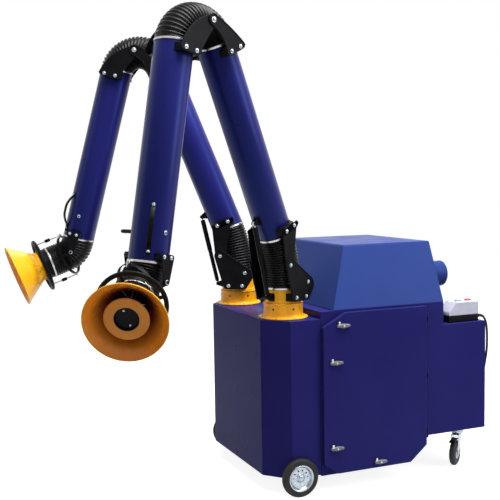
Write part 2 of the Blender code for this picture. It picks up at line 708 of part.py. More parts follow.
def castor_fork(side, swivel):
    """Pressed top plate, two legs to the axle, a brake pedal and the stem up into the box."""
    half = CASTOR_WIDTH / 2
    top, crest = BOX_BOTTOM - GAP, CASTOR_RADIUS * 2 + FORK_SHEET
    leg = half + GAP * 4
    width = leg + FORK_SHEET
    radius, cap = FORK_TOP_RADIUS, FORK_TOP_RADIUS * FORK_CAP_SHARE
    rear, front = radius * FORK_BLADE_REAR_SHARE, radius * FORK_BLADE_FRONT_SHARE
    fork = piece("castor_fork_" + side,
                 turned([(0, top - 4 * FORK_SHEET), (cap, top - 4 * FORK_SHEET),
                         (radius, top - 2 * FORK_SHEET), (radius, top), (0, top)], 24), "bright_zinc", swivel)
    join(fork, prism([(-radius, crest), (radius * FORK_FRONT_SHARE, crest), (cap, top - 3 * FORK_SHEET),
                      (-cap, top - 3 * FORK_SHEET)], -width, width, "Y"))
    blade = hull([(-CASTOR_TRAIL, CASTOR_RADIUS, STEM_RADIUS * AXLE_LOBE_SHARE), (-rear, crest, FORK_SHEET),
                  (front, crest, FORK_SHEET)], 12)
    for low, high in ((-width, -leg), (leg, width)):
        join(fork, prism(blade, low, high, "Y"))
    reach = -CASTOR_TRAIL - CASTOR_RADIUS * PEDAL_SHARE
    pedal = [(-rear, crest + FORK_SHEET), (-rear, crest + 2 * FORK_SHEET), (reach, crest),
             (reach, crest - FORK_SHEET)]
    join(fork, prism(pedal, -half, half, "Y"),
         rod(STEM_RADIUS - GAP, -width, width, (-CASTOR_TRAIL, 0, CASTOR_RADIUS), "Y"),
         rod(STEM_RADIUS, top - FORK_SHEET, BOX_BOTTOM + SHEET + STEM_RADIUS))


def switch(root):
    """Motor switch on the rear platform: base with its gland, sloping cover and two buttons."""
    base_low = BOX_TOP + GAP
    base_high = BOX_TOP + SWITCH_BASE_HEIGHT
    near, far = SWITCH_NEAR, SWITCH_NEAR + SWITCH_WIDTH
    base = piece("switch_base", box((SWITCH_FRONT, near, base_low), (SWITCH_REAR, far, base_high)),
                 "black_steel", root)
    centre = gland_place()
    join(base, turned([(0, -SHEET), (GLAND_RADIUS, -SHEET), (GLAND_RADIUS, GLAND_LENGTH / 2),
                       (GLAND_RADIUS * GLAND_TIP_SHARE, GLAND_LENGTH), (0, GLAND_LENGTH)], 16, centre, "X"))
    low = base_high + GAP
    high = BOX_TOP + SWITCH_HEIGHT
    outline = [(SWITCH_FRONT, low), (SWITCH_REAR, low), (SWITCH_REAR, high),
               (SWITCH_FRONT + SWITCH_SLOPE, high), (SWITCH_FRONT, high - SWITCH_SLOPE)]
    cover = piece("switch_cover", prism(outline, near, far, "Y"), "white_cover", root)
    inner = [(x, z - OVERRUN if z < low + 2 * SHEET else z) for x, z in inset(outline, SHEET)]
    cut(cover, prism(inner, near + SHEET, far - SHEET))
    for name, share in BUTTON_PLACES.items():
        along = SWITCH_FRONT + SWITCH_SLOPE + (SWITCH_REAR - SWITCH_FRONT - SWITCH_SLOPE) * share
        place = (along, (near + far) / 2, high)
        stem = BUTTON_RADIUS * STEM_SHARE
        cut(cover, rod(stem + GAP, -OVERRUN / 2, OVERRUN / 2, place))
        seat = frame(name + "_axis", root, place)
        edge, up = BUTTON_RADIUS * CAP_EDGE_SHARE, BUTTON_HEIGHT * CAP_EDGE_SHARE
        cap = [(0, -OVERRUN / 2), (stem, -OVERRUN / 2), (stem, BUTTON_TRAVEL + GAP),
               (BUTTON_RADIUS, BUTTON_TRAVEL + GAP), (BUTTON_RADIUS, up), (edge, BUTTON_HEIGHT),
               (0, BUTTON_HEIGHT)]
        colour = "red_plastic" if name == "stop_button" else "green_plastic"
        piece(name, turned(cap, SMALL_ROUND), colour, seat)


def gland_place():
    return (SWITCH_REAR, SWITCH_NEAR + SWITCH_WIDTH / 2, BOX_TOP + SWITCH_BASE_HEIGHT * GLAND_HEIGHT_SHARE)


def elbow_rise():
    """The elbow's pivot above the shoulder's, along the lower tube."""
    return 2 * TUBE_GAP + LOWER_LENGTH


def open_end(side):
    """The upper tube's open end below the elbow."""
    return -TUBE_GAP - UPPER_LENGTH[side]


def arm_frames(side, root):
    """The empties of one arm, each at its joint."""
    swivel = frame(side + "_swivel_axis", root, (FLANGE_ALONG, arm_places()[side], COLUMN_TOP), HEADING[side])
    shoulder = frame(side + "_shoulder_axis", swivel, (PIVOT_OFFSET, 0, SHOULDER_RISE), LEAN[side], "Y")
    elbow = frame(side + "_elbow_axis", shoulder, (0, 0, elbow_rise()), -LEAN[side] - DROP[side], "Y")
    end = open_end(side)
    tilt = frame(side + "_tilt_axis", elbow, (ELBOW_OFFSET - GIMBAL_BACK, 0, end - GIMBAL_DROP),
                 -TILT[side], "Y")
    swing = frame(side + "_swing_axis", tilt, (0, 0, -GIMBAL_REACH), SWING[side], "X")
    damper = frame(side + "_damper_axis", elbow, (ELBOW_OFFSET, 0, end + DAMPER_UP))
    length, angle = strut_line(LEAN[side])
    strut = frame(side + "_strut_axis", swivel, strut_foot(), angle, "Y")
    return {"root": root, "swivel": swivel, "shoulder": shoulder, "elbow": elbow, "tilt": tilt,
            "swing": swing, "damper": damper, "strut": strut, "length": length}


def strut_foot():
    return (TUBE_RADIUS + STRUT_FOOT_OUT, 0, STRUT_FOOT_RISE)


def strut_head():
    """Upper strut pivot, in the shoulder's frame."""
    return (TUBE_RADIUS - PIVOT_OFFSET + STRUT_HEAD_OUT, 0, STRUT_HEAD_UP)


def strut_line(lean):
    """Length and lean of the gas strut at one lean of the lower tube."""
    head = Matrix.Rotation(math.radians(lean), 3, "Y") @ Vector(strut_head())
    line = Vector((PIVOT_OFFSET, 0, SHOULDER_RISE)) + head - Vector(strut_foot())
    return line.length, math.degrees(math.atan2(line.x, line.z))


def curve(start, start_way, end, end_way, reach, steps):
    """Points of a cubic bend between two ends with their directions."""
    points = []
    first, last = Vector(start), Vector(end)
    second, third = first + Vector(start_way) * reach, last - Vector(end_way) * reach
    for i in range(steps + 1):
        t = i / steps
        u = 1 - t
        points.append(first * u ** 3 + second * 3 * u * u * t + third * 3 * u * t * t + last * t ** 3)
    return points


def hose(name, points, ways, parent):
    """A ribbed black hose along points: narrow and wide rings in turn, with a plain bore."""
    radii = [HOSE_ROOT if i % 2 == 0 else HOSE_CREST for i in range(len(points))]
    piece(name, swept(points, radii, HOSE_SIDES, HOSE_BORE, 3, ways), "black_rubber", parent)


def band(along, low, high):
    """A clamp ring round a tube whose axis stands at along."""
    outline = ring_outline(TUBE_RADIUS + GAP, TUBE_RADIUS + BAND_THICKNESS, low, high)
    return turned(outline, ROUND, (along, 0, 0))


def spacers(along, low, high, out):
    """Blocks that carry the side plates on the clamp ring."""
    start = TUBE_RADIUS + BAND_THICKNESS / 2
    half = SPACER_LENGTH / 2
    return (box((along - half, start, low), (along + half, out, high)),
            box((along - half, -out, low), (along + half, -start, high)))


def pivot_pins(place, start):
    """A pin through each pair of side plates."""
    centre = (place[0], 0, place[1])
    return rod(PIN_RADIUS, start, PIN_END, centre, "Y"), rod(PIN_RADIUS, -PIN_END, -start, centre, "Y")


def pivot_holes(place):
    return rod(PIN_RADIUS + GAP, -PIN_END, PIN_END, (place[0], 0, place[1]), "Y")


def ears(start, place, half_height):
    """A small fork that holds the strut's eye, and its pin."""
    x, z = place
    inner = EYE_WIDTH / 2 + GAP
    outline = hull([(start, z, half_height), (x, z, EYE_RADIUS)], 8)
    return (*plates(outline, inner, EAR_SHEET),
            rod(STRUT_PIN, -inner - EAR_SHEET / 2, inner + EAR_SHEET / 2, (x, 0, z), "Y"))


def arm_base(side, at):
    """Fixed flange on the column, turning collar above it and the shoulder's lower yoke."""
    across = arm_places()[side]
    seat = frame(side + "_seat", at["root"], (FLANGE_ALONG, across, COLUMN_TOP), HEADING[side])
    lip = FLANGE_HEIGHT * FLANGE_LIP_SHARE
    outline = [(BORE_RADIUS, GAP), (FLANGE_RADIUS, GAP), (FLANGE_RADIUS, lip),
               (DRUM_RADIUS * FLANGE_SWELL_SHARE, FLANGE_HEIGHT * FLANGE_WAIST_SHARE),
               (DRUM_RADIUS, FLANGE_HEIGHT * FLANGE_NECK_SHARE),
               (DRUM_RADIUS, FLANGE_HEIGHT), (BORE_RADIUS, FLANGE_HEIGHT)]
    piece(side + "_arm_flange", turned(outline), "signal_orange", seat)
    piece(side + "_turn_collar", turned(ring_outline(BORE_RADIUS, TUBE_RADIUS, FLANGE_HEIGHT + GAP,
                                                     COLLAR_TOP)), "signal_orange", at["swivel"])
    yoke = piece(side + "_shoulder_base_yoke", band(0, BASE_BAND_LOW, BASE_BAND_HIGH), "black_steel",
                 at["swivel"])
    half, foot = BASE_PLATE_HALF, BASE_BAND_LOW + BASE_PLATE_FOOT
    outline = hull([(PIVOT_OFFSET, SHOULDER_RISE, BASE_PLATE_LOBE), (-half, BASE_PLATE_RISE, BASE_PLATE_BACK),
                    (-half, foot, BASE_PLATE_FOOT), (half, foot, BASE_PLATE_FOOT)], 10)
    inner = SPACER_INSET
    join(yoke, *plates(outline, PLATE_OUTER),
         *spacers(0, BASE_BAND_LOW + inner, BASE_BAND_HIGH - inner, PLATE_OUTER + PLATE_SHEET / 2),
         *pivot_pins((PIVOT_OFFSET, SHOULDER_RISE), PIN_START),
         *ears(TUBE_RADIUS + BAND_THICKNESS / 2 + EYE_RADIUS, (strut_foot()[0], STRUT_FOOT_RISE), EYE_RADIUS))


def tube_plate(pivot, tube, foot):
    """Side plate from its pivot down to a two-bolt foot on the tube, which stands at tube."""
    return hull([(0, pivot, PLATE_LOBE), (tube - PLATE_HALF, foot, PLATE_FOOT),
                 (tube + PLATE_HALF, foot, PLATE_FOOT)], 8)


def lower_arm(side, at):
    """Lower tube with its two yokes, the shoulder hose and the elbow hose."""
    start, end = TUBE_GAP, TUBE_GAP + LOWER_LENGTH
    shoulder, elbow = at["shoulder"], (0, elbow_rise())
    centre = (-PIVOT_OFFSET, 0, 0)
    tube = piece(side + "_lower_tube", turned(ring_outline(BORE_RADIUS, TUBE_RADIUS, start, end), ROUND,
                                              centre), "tube_blue", shoulder)
    head = strut_head()
    join(tube, *ears(TUBE_RADIUS - PIVOT_OFFSET + EYE_RADIUS - GAP * 4, (head[0], head[2]), EYE_RADIUS))
    yoke = piece(side + "_shoulder_tube_yoke", band(-PIVOT_OFFSET, TUBE_BAND_LOW, TUBE_BAND_HIGH),
                 "black_steel", shoulder)
    middle = (TUBE_BAND_LOW + TUBE_BAND_HIGH) / 2
    outline = tube_plate(0, -PIVOT_OFFSET, middle)
    inner = SPACER_INSET
    join(yoke, *plates(outline, PLATE_INNER),
         *spacers(-PIVOT_OFFSET, TUBE_BAND_LOW + inner, TUBE_BAND_HIGH - inner,
                  PLATE_INNER + PLATE_SHEET / 2))
    cut(yoke, pivot_holes((0, 0)))
    yoke = piece(side + "_elbow_lower_yoke", band(-PIVOT_OFFSET, end - TUBE_BAND_HIGH + start,
                                                  end - TUBE_BAND_LOW + start), "black_steel", shoulder)
    middle = end + start - middle
    outline = tube_plate(elbow[1], -PIVOT_OFFSET, middle)
    join(yoke, *plates(outline, PLATE_OUTER),
         *spacers(-PIVOT_OFFSET, end - TUBE_BAND_HIGH + start + inner, end - TUBE_BAND_LOW + start - inner,
                  PLATE_OUTER + PLATE_SHEET / 2), *pivot_pins(elbow, PIN_START))
    turn = Matrix.Rotation(math.radians(LEAN[side]), 3, "Y")
    top = Vector((PIVOT_OFFSET, 0, SHOULDER_RISE)) + turn @ Vector((-PIVOT_OFFSET, 0, start - GAP))
    up = Vector((0, 0, 1))
    hose(side + "_shoulder_hose", curve((0, 0, COLLAR_TOP + GAP), up, top, turn @ up, SHOULDER_BEND,
                                        HOSE_STEPS["shoulder"]), (up, turn @ up), at["swivel"])
    turn = Matrix.Rotation(math.radians(-LEAN[side] - DROP[side]), 3, "Y")
    far_end = Vector((0, 0, elbow[1])) + turn @ Vector((ELBOW_OFFSET, 0, GAP - TUBE_GAP))
    down = turn @ -up
    hose(side + "_elbow_hose", curve((-PIVOT_OFFSET, 0, end + GAP), up, far_end, down, ELBOW_BEND,
                                     HOSE_STEPS["elbow"]), (up, down), shoulder)


def strut(side, at):
    """Gas strut that holds the arm up: a cylinder on the lower pivot, its rod on the tube."""
    length = at["length"]
    cylinder = piece(side + "_strut_cylinder", rod(EYE_RADIUS, -EYE_WIDTH / 2, EYE_WIDTH / 2, axis="Y",
                                                   sides=16), "black_steel", at["strut"])
    reach = length * CYLINDER_SHARE
    neck = (STRUT_PIN + EYE_RADIUS) / 2
    barrel = [(0, neck), (ROD_RADIUS, neck), (STRUT_RADIUS, EYE_RADIUS * BARREL_START_SHARE),
              (STRUT_RADIUS, reach), (ROD_RADIUS + GAP, reach), (ROD_RADIUS + GAP, EYE_RADIUS * 2),
              (0, EYE_RADIUS * 2)]
    join(cylinder, turned(barrel, 16))
    cut(cylinder, rod(STRUT_PIN + GAP, -EYE_WIDTH, EYE_WIDTH, axis="Y"))
    slide = frame(side + "_strut_slide", at["strut"], (0, 0, length))
    slot = STRUT_PIN + HEAD_SIDE
    outer = hull([(0, -HEAD_CLEARANCE, slot + EAR_SHEET), (0, HEAD_CLEARANCE, slot + EAR_SHEET)], 16)
    inner = hull([(0, -HEAD_CLEARANCE, slot), (0, HEAD_CLEARANCE, slot)], 16)
    bar_end = length * ROD_SHARE - length
    head = piece(side + "_strut_rod", prism(outer, -EYE_WIDTH / 2, EYE_WIDTH / 2), "bright_zinc", slide)
    join(head, rod(ROD_RADIUS, bar_end, -HEAD_CLEARANCE - slot - EAR_SHEET / 2))
    cut(head, prism(inner, -EYE_WIDTH, EYE_WIDTH))


def upper_arm(side, at):
    """Upper tube with its elbow yoke, the damper in it and the hood's yoke at its open end."""
    elbow, end = at["elbow"], open_end(side)
    centre = (ELBOW_OFFSET, 0, 0)
    tube = piece(side + "_upper_tube", turned(ring_outline(BORE_RADIUS, TUBE_RADIUS, end, -TUBE_GAP), ROUND,
                                              centre), "tube_blue", elbow)
    cut(tube, rod(DAMPER_AXLE + GAP, -PIN_END, PIN_END, (ELBOW_OFFSET, 0, end + DAMPER_UP), "Y"))
    yoke = piece(side + "_elbow_upper_yoke", band(ELBOW_OFFSET, -TUBE_BAND_HIGH, -TUBE_BAND_LOW),
                 "black_steel", elbow)
    middle = -(TUBE_BAND_LOW + TUBE_BAND_HIGH) / 2
    outline = tube_plate(0, ELBOW_OFFSET, middle)
    inner = SPACER_INSET
    join(yoke, *plates(outline, PLATE_INNER),
         *spacers(ELBOW_OFFSET, -TUBE_BAND_HIGH + inner, -TUBE_BAND_LOW - inner,
                  PLATE_INNER + PLATE_SHEET / 2))
    cut(yoke, pivot_holes((0, 0)))
    damper = piece(side + "_damper_valve", rod(DAMPER_DISC, -SHEET / 2, SHEET / 2, axis="X", sides=ROUND),
                   "black_steel", at["damper"])
    join(damper, rod(DAMPER_AXLE, -TUBE_RADIUS - DAMPER_STICK, TUBE_RADIUS + BOLT_HEAD, axis="Y"))
    yoke = piece(side + "_hood_yoke", band(ELBOW_OFFSET, end + HOOD_BAND_LOW, end + HOOD_BAND_HIGH),
                 "black_steel", elbow)
    middle = end + (HOOD_BAND_LOW + HOOD_BAND_HIGH) / 2
    pivot = (ELBOW_OFFSET - GIMBAL_BACK, end - GIMBAL_DROP)
    outline = hull([(*pivot, HOOD_PLATE_LOBE), (ELBOW_OFFSET - HOOD_PLATE_HALF, middle, HOOD_PLATE_FOOT),
                    (ELBOW_OFFSET + HOOD_PLATE_HALF, middle, HOOD_PLATE_FOOT)], 8)
    join(yoke, *plates(outline, PLATE_OUTER),
         *spacers(ELBOW_OFFSET, end + HOOD_BAND_LOW + inner, end + HOOD_BAND_HIGH - inner,
                  PLATE_OUTER + PLATE_SHEET / 2), bow_handle(end))
    cut(yoke, pivot_holes(pivot))


def bow_handle(end):
    """A bent strap that stands off the tube, its lower foot on the clamp ring."""
    inner, outer = TUBE_RADIUS + GAP, TUBE_RADIUS + GAP + BOW_SHEET
    low, high, slant, foot = BOW_LOW, BOW_HIGH, BOW_SLANT, BOW_SLANT / 2
    outline = [(inner, HOOD_BAND_HIGH - foot), (outer, HOOD_BAND_HIGH - foot), (outer, low),
               (outer + BOW_STAND, low + slant), (outer + BOW_STAND, high - slant), (outer, high),
               (outer, high + foot), (inner, high + foot), (inner, high),
               (inner + BOW_STAND, high - slant - BOW_SHEET / 2),
               (inner + BOW_STAND, low + slant + BOW_SHEET / 2),
               (inner, low + BOW_SHEET / 2)]
    strap = prism([(x, z + end) for x, z in outline], -BOW_WIDTH / 2, BOW_WIDTH / 2)
    place = Matrix.Translation((ELBOW_OFFSET, 0, 0)) @ Matrix.Rotation(math.radians(BOW_ANGLE), 4, "Z")
    bmesh.ops.transform(strap, matrix=place, verts=strap.verts)
    return strap


def hood(side, at):
    """Tilting gimbal, swinging ring handle with its stays, suction hood and the hose to it."""
    gimbal = piece(side + "_hood_gimbal", oval_hoop(), "black_steel", at["tilt"])
    arms = hull([(0, 0, HOOD_PLATE_LOBE), (0, -GIMBAL_REACH, GIMBAL_DEPTH * GIMBAL_FOOT_SHARE)], 8)
    join(gimbal, *plates(arms, PLATE_INNER), *pivot_pins((0, 0), PLATE_INNER + PLATE_SHEET / 2))
    half = GIMBAL_HALF_LENGTH + GIMBAL_SHEET / 2
    for low, high in ((half, LUG_END), (-LUG_END, -half)):
        join(gimbal, rod(LUG_RADIUS, low, high, (0, 0, -GIMBAL_REACH), "X"))
    swing = at["swing"]
    handle = piece(side + "_ring_handle", turned(ring_outline(HOSE_BORE, HUB_RADIUS, -HUB_BOTTOM, -HUB_TOP)),
                   "black_steel", swing)
    turns = [2 * math.pi * k / RING_SIDES for k in range(RING_SIDES)]
    rim = [(RING_RADIUS + RING_ROD * math.cos(a), -RING_DROP + RING_ROD * math.sin(a)) for a in turns]
    join(handle, turned(rim))
    thick = STAY_RADIUS * SPOKE_SHARE
    for i in range(SPOKES):
        spoke = box((HUB_RADIUS - thick / 2, -thick, -RING_DROP - thick / 2),
                    (RING_RADIUS, thick, -RING_DROP + thick / 2))
        turn = Matrix.Rotation(2 * math.pi * i / SPOKES, 4, "Z")
        bmesh.ops.transform(spoke, matrix=turn, verts=spoke.verts)
        join(handle, spoke)
    eye = STAY_RADIUS * STAY_EYE_SHARE
    for way in (1, -1):
        place = way * STAY_PLACE
        join(handle, rod(STAY_RADIUS, -RING_DROP, -(LUG_RADIUS + EYE_RADIUS) / 2, (place, 0, 0)),
             rod(EYE_RADIUS, place - eye, place + eye, axis="X"))
    cut(handle, rod(LUG_RADIUS + GAP, -LUG_END - OVERRUN, -HUB_RADIUS, axis="X"),
        rod(LUG_RADIUS + GAP, HUB_RADIUS, LUG_END + OVERRUN, axis="X"))
    cone = HOOD_SHEET
    neck, mouth = -HUB_BOTTOM - GAP, -MOUTH_DROP
    outline = [(NECK_RADIUS - cone, neck), (NECK_RADIUS + cone * 2, neck),
               (NECK_RADIUS + cone * 2, neck - cone * 2),
               (MOUTH_RADIUS - cone, mouth + cone * 2), (MOUTH_RADIUS, mouth + cone * 2),
               (MOUTH_RADIUS, mouth),
               (MOUTH_RADIUS - cone * 2, mouth), (NECK_RADIUS - cone, neck - cone * 2)]
    shell = piece(side + "_suction_hood", turned(outline), "signal_orange", swing)
    join(shell, rod(BAFFLE_RADIUS, -BAFFLE_DROP - cone / 2, -BAFFLE_DROP + cone / 2, sides=ROUND))
    wide = NECK_RADIUS + (MOUTH_RADIUS - NECK_RADIUS) * (BAFFLE_DROP - HUB_BOTTOM) / (MOUTH_DROP - HUB_BOTTOM)
    for i in range(BAFFLE_STRUTS):
        leg = box((BAFFLE_RADIUS - cone, -cone, -BAFFLE_DROP - cone / 4),
                  (wide - cone, cone, -BAFFLE_DROP + cone / 4))
        turn = Matrix.Rotation(2 * math.pi * i / BAFFLE_STRUTS, 4, "Z")
        bmesh.ops.transform(leg, matrix=turn, verts=leg.verts)
        join(shell, leg)
    hood_hose(side, at)


def oval_hoop():
    """The gimbal's flat hoop, a little longer than wide."""
    shape = bmesh.new()
    rings = []
    low, high = -GIMBAL_REACH - GIMBAL_DEPTH / 2, -GIMBAL_REACH + GIMBAL_DEPTH / 2
    for extra, height in ((0, low), (GIMBAL_SHEET, low), (GIMBAL_SHEET, high), (0, high)):
        ring = []
        for i in range(ROUND):
            angle = 2 * math.pi * i / ROUND
            ring.append(shape.verts.new(((GIMBAL_HALF_LENGTH + extra) * math.cos(angle),
                                         (GIMBAL_HALF_WIDTH + extra) * math.sin(angle), height)))
        rings.append(ring)
    skin(shape, rings, True)
    return shape


def hood_hose(side, at):
    """The last hose, from the upper tube's open end through the gimbal's hoop to the hub."""
    end = open_end(side)
    tilt = Matrix.Rotation(math.radians(-TILT[side]), 3, "Y")
    swing = tilt @ Matrix.Rotation(math.radians(SWING[side]), 3, "X")
    pivot = Vector((ELBOW_OFFSET - GIMBAL_BACK, 0, end - GIMBAL_DROP))
    hoop = pivot + tilt @ Vector((0, 0, -GIMBAL_REACH))
    down = Vector((0, 0, -1))
    through = (tilt @ down * 1.5 + swing @ down).normalized()
    steps = HOSE_STEPS["hood"] // 2
    points = curve((ELBOW_OFFSET, 0, end - GAP), down, hoop, through, HOOD_BEND, steps)
    points += curve(hoop, through, hoop + swing @ Vector((0, 0, GAP - HUB_TOP)), swing @ down,
                    HOOD_BEND, steps)[1:]
    hose(side + "_hood_hose", points, (down, swing @ down), at["elbow"])


def arm(side, root):
    at = arm_frames(side, root)
    arm_base(side, at)
    lower_arm(side, at)
    strut(side, at)
    upper_arm(side, at)
    hood(side, at)


def lead(root):
    """Mains lead from the switch's gland down to the coil on the floor behind the machine."""
    gland = gland_place()
    start = (gland[0] + GLAND_LENGTH + GAP, gland[1], gland[2])
    end = coil_points()[0] - Vector((GAP * 2, 0, 0))
    path = smooth([start] + [Vector(p) for p in CORD_PLACES] + [end], CORD_STEPS)
    shape = swept(path, [LEAD_RADIUS] * len(path), 6, ways=((1, 0, 0), (1, 0, 0)))
    piece("mains_cord", shape, "black_rubber", root)


def smooth(points, steps):
    """A rounded line through points, steps pieces between each pair."""
    points = [Vector(p) for p in points]
    ends = [points[0] * 2 - points[1]] + points + [points[-1] * 2 - points[-2]]
    line = [points[0]]
    for a, b, c, d in zip(ends, ends[1:], ends[2:], ends[3:]):
        for i in range(1, steps + 1):
            t = i / steps
            line.append((b * 2 + (c - a) * t + (a * 2 - b * 5 + c * 4 - d) * t * t
                         + (b * 3 - a - c * 3 + d) * t ** 3) / 2)
    return line


def coil_points():
    """Two flat spirals, one on the other, and the short tail to the plug."""
    points = []
    outer = COIL_INNER + COIL_PITCH * COIL_TURNS
    floor = LEAD_RADIUS * FLOOR_SHARE
    count = COIL_TURNS * COIL_STEPS
    for i in range(count + 1):
        points.append(spiral(outer - COIL_PITCH * i / COIL_STEPS, i, floor))
    rise = COIL_STEPS // 3
    for i in range(1, count + COIL_STEPS // 2 + 1):
        radius = COIL_INNER + COIL_PITCH * max(i - rise, 0) / COIL_STEPS
        points.append(spiral(radius, i, floor + COIL_PITCH * min(i / rise, 1)))
    last = points[-1]
    points.append(Vector((COIL_ALONG - PLUG_OFF + GAP * 2, last.y, PLUG_RADIUS * FLOOR_SHARE)))
    return points


def spiral(radius, step, height):
    """One point of a flat spiral, the first one at its near side."""
    angle = 2 * math.pi * step / COIL_STEPS - math.pi / 2
    return Vector((COIL_ALONG + radius * math.cos(angle), COIL_ACROSS + radius * math.sin(angle), height))


def coil(root):
    points = coil_points()
    shape = swept(points, [LEAD_RADIUS] * len(points), 5, ways=((1, 0, 0), (-1, 0, 0)))
    piece("mains_coil", shape, "black_rubber", root)


def plug(root):
    """A round industrial plug on the floor at the coil's loose end."""
    radius, length = PLUG_RADIUS, PLUG_LENGTH
    start, mouth, floor = PLUG_SKIRT_SHARES
    grip = [(radius * wide, length * along) for wide, along in PLUG_GRIP_SHARES]
    outline = [(0, 0), (LEAD_RADIUS * PLUG_NECK_SHARE, 0), *grip, (radius, length * start), (radius, length),
               (radius * mouth, length), (radius * mouth, length * floor), (0, length * floor)]
    place = coil_points()[-1]
    seat = frame("plug_seat", root, (COIL_ALONG - PLUG_OFF, place.y, place.z), 180)
    body = piece("mains_plug", turned(outline, 16, axis="X"), "red_plastic", seat)
    foot, tip = PLUG_PRONG_SHARES
    for i in range(PLUG_PRONGS):
        angle = 2 * math.pi * (i + 0.5) / PLUG_PRONGS
        prong = (0, PLUG_RADIUS / 2 * math.cos(angle), PLUG_RADIUS / 2 * math.sin(angle))
        join(body, rod(PLUG_PRONG, length * foot, length * tip, prong, "X", 8))


def settle(root):
    """Move the machine so that it stands on z = 0, centred without its lead."""
    bpy.context.view_layer.update()
    graph = bpy.context.evaluated_depsgraph_get()
    low, high = [math.inf] * 3, [-math.inf] * 3
    for thing in bpy.data.objects:
        if thing.type != "MESH" or thing.hide_render or thing.name.startswith("mains"):
            continue
        shaped = thing.evaluated_get(graph)
        for corner in shaped.data.vertices:
            spot = shaped.matrix_world @ corner.co
            for k in range(3):
                low[k], high[k] = min(low[k], spot[k]), max(high[k], spot[k])
    root.location = (-(low[0] + high[0]) / 2, -(low[1] + high[1]) / 2, -low[2])


def main():
    clear_scene()
    root = frame("machine", None)
    front_column(root)
    cabinet_shell(root)
    hinge = frame("door_hinge", root, (*hinge_place(), 0))
    cabinet_door(hinge)
    door_latches(hinge)
    fan_hood(root)
    fan(root)
    filter_cartridge(root)
    front_wheels(root)
    castors(root)
    switch(root)
    for side in ("near", "far"):
        arm(side, root)
    lead(root)
    coil(root)
    plug(root)
    settle(root)


main()
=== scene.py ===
import bmesh
import bpy
import numpy as np
from mathutils import Matrix, Vector


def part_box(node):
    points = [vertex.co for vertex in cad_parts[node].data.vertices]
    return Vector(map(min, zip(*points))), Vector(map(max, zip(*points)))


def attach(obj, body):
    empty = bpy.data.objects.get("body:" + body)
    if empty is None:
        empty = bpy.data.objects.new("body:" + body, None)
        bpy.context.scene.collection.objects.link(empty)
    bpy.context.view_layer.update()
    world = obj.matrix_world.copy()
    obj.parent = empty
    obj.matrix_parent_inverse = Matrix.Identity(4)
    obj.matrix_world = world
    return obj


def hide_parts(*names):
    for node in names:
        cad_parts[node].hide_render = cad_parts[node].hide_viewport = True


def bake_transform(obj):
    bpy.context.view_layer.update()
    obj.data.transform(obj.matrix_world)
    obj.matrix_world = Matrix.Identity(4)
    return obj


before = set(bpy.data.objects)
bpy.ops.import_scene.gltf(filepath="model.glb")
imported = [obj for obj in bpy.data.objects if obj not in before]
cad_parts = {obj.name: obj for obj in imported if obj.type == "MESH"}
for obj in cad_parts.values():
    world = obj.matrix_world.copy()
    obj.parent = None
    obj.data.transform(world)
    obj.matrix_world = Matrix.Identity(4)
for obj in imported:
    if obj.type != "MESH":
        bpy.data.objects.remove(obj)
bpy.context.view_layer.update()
scene = bpy.context.scene
turnOnce = 2 * np.pi
gap = 0.0003


# Places: 4x4 arrays, built up from moves and turns

def shift(x, y, z):
    return np.array(Matrix.Translation((x, y, z)))


def turn(axis, degrees):
    return np.array(Matrix.Rotation(np.radians(degrees), 4, axis))


def carry(place, points):
    return np.asarray(points, float) @ place[:3, :3].T + place[:3, 3]


def way(place, direction):
    return place[:3, :3] @ np.asarray(direction, float)


# upright stands a flat outline (x, y) in the X-Z plane, its thickness towards -Y;
# shellCorner is the lowest corner of the cabinet's shell from the machine's own origin
upright = turn("X", 90)
shellCorner = np.array((0.245, 0.0, 0.071))
machine = shift(*(np.array(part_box("cabinet_shell")[0]) - shellCorner))
whole = np.eye(4)


# Shells: an array of points and a list of face arrays

def grid(points, capped=False, ring=False):
    # quads between neighbouring rows and columns, closed round the columns;
    # ring joins the last row to the first
    rows, columns = points.shape[:2]
    row, column = np.meshgrid(np.arange(rows if ring else rows - 1), np.arange(columns), indexing="ij")
    after, beside = (row + 1) % rows, (column + 1) % columns
    row, after = row * columns, after * columns
    corners = [row + column, row + beside, after + beside, after + column]
    faces = [np.stack(corners, -1).reshape(-1, 4)]
    if capped:
        first = np.arange(columns)
        faces += [first[None, ::-1], (rows - 1) * columns + first[None]]
    return points.reshape(-1, 3), faces


def together(*shells):
    # several shells as one: each one's faces count on from the points before it
    points, faces, count = [], [], 0
    for own, ownFaces in shells:
        points.append(own)
        faces += [group + count for group in ownFaces]
        count += len(own)
    return np.concatenate(points), faces


def moved(place, shell):
    return carry(place, shell[0]), shell[1]


def repeated(shell, places):
    # the same shell at each 4x4 place
    points, faces = shell
    places = np.asarray(places)
    spread = np.einsum("kij,pj->kpi", places[:, :3, :3], points) + places[:, None, :3, 3]
    steps = len(points) * np.arange(len(places))[:, None, None]
    return spread.reshape(-1, 3), [(group[None] + steps).reshape(-1, group.shape[1]) for group in faces]


def rounded(corners, radius, steps=5, closed=True):
    # each corner becomes a quadratic curve that leaves its two sides at `radius` from it,
    # or at 0.45 of the shorter side
    corners = np.asarray(corners, float)
    back, ahead = np.roll(corners, 1, 0) - corners, np.roll(corners, -1, 0) - corners
    lengths = [np.linalg.norm(sides, axis=1, keepdims=True) + 1e-12 for sides in (back, ahead)]
    reach = np.minimum(np.reshape(radius, (-1, 1)), 0.45 * np.minimum(*lengths))
    first, last = corners + back / lengths[0] * reach, corners + ahead / lengths[1] * reach
    t = np.linspace(0, 1, steps)[None, :, None]
    curve = first[:, None] * (1 - t) ** 2 + corners[:, None] * 2 * t * (1 - t) + last[:, None] * t * t
    if not closed:
        return np.concatenate([corners[:1], curve[1:-1].reshape(-1, corners.shape[1]), corners[-1:]])
    return curve.reshape(-1, corners.shape[1])


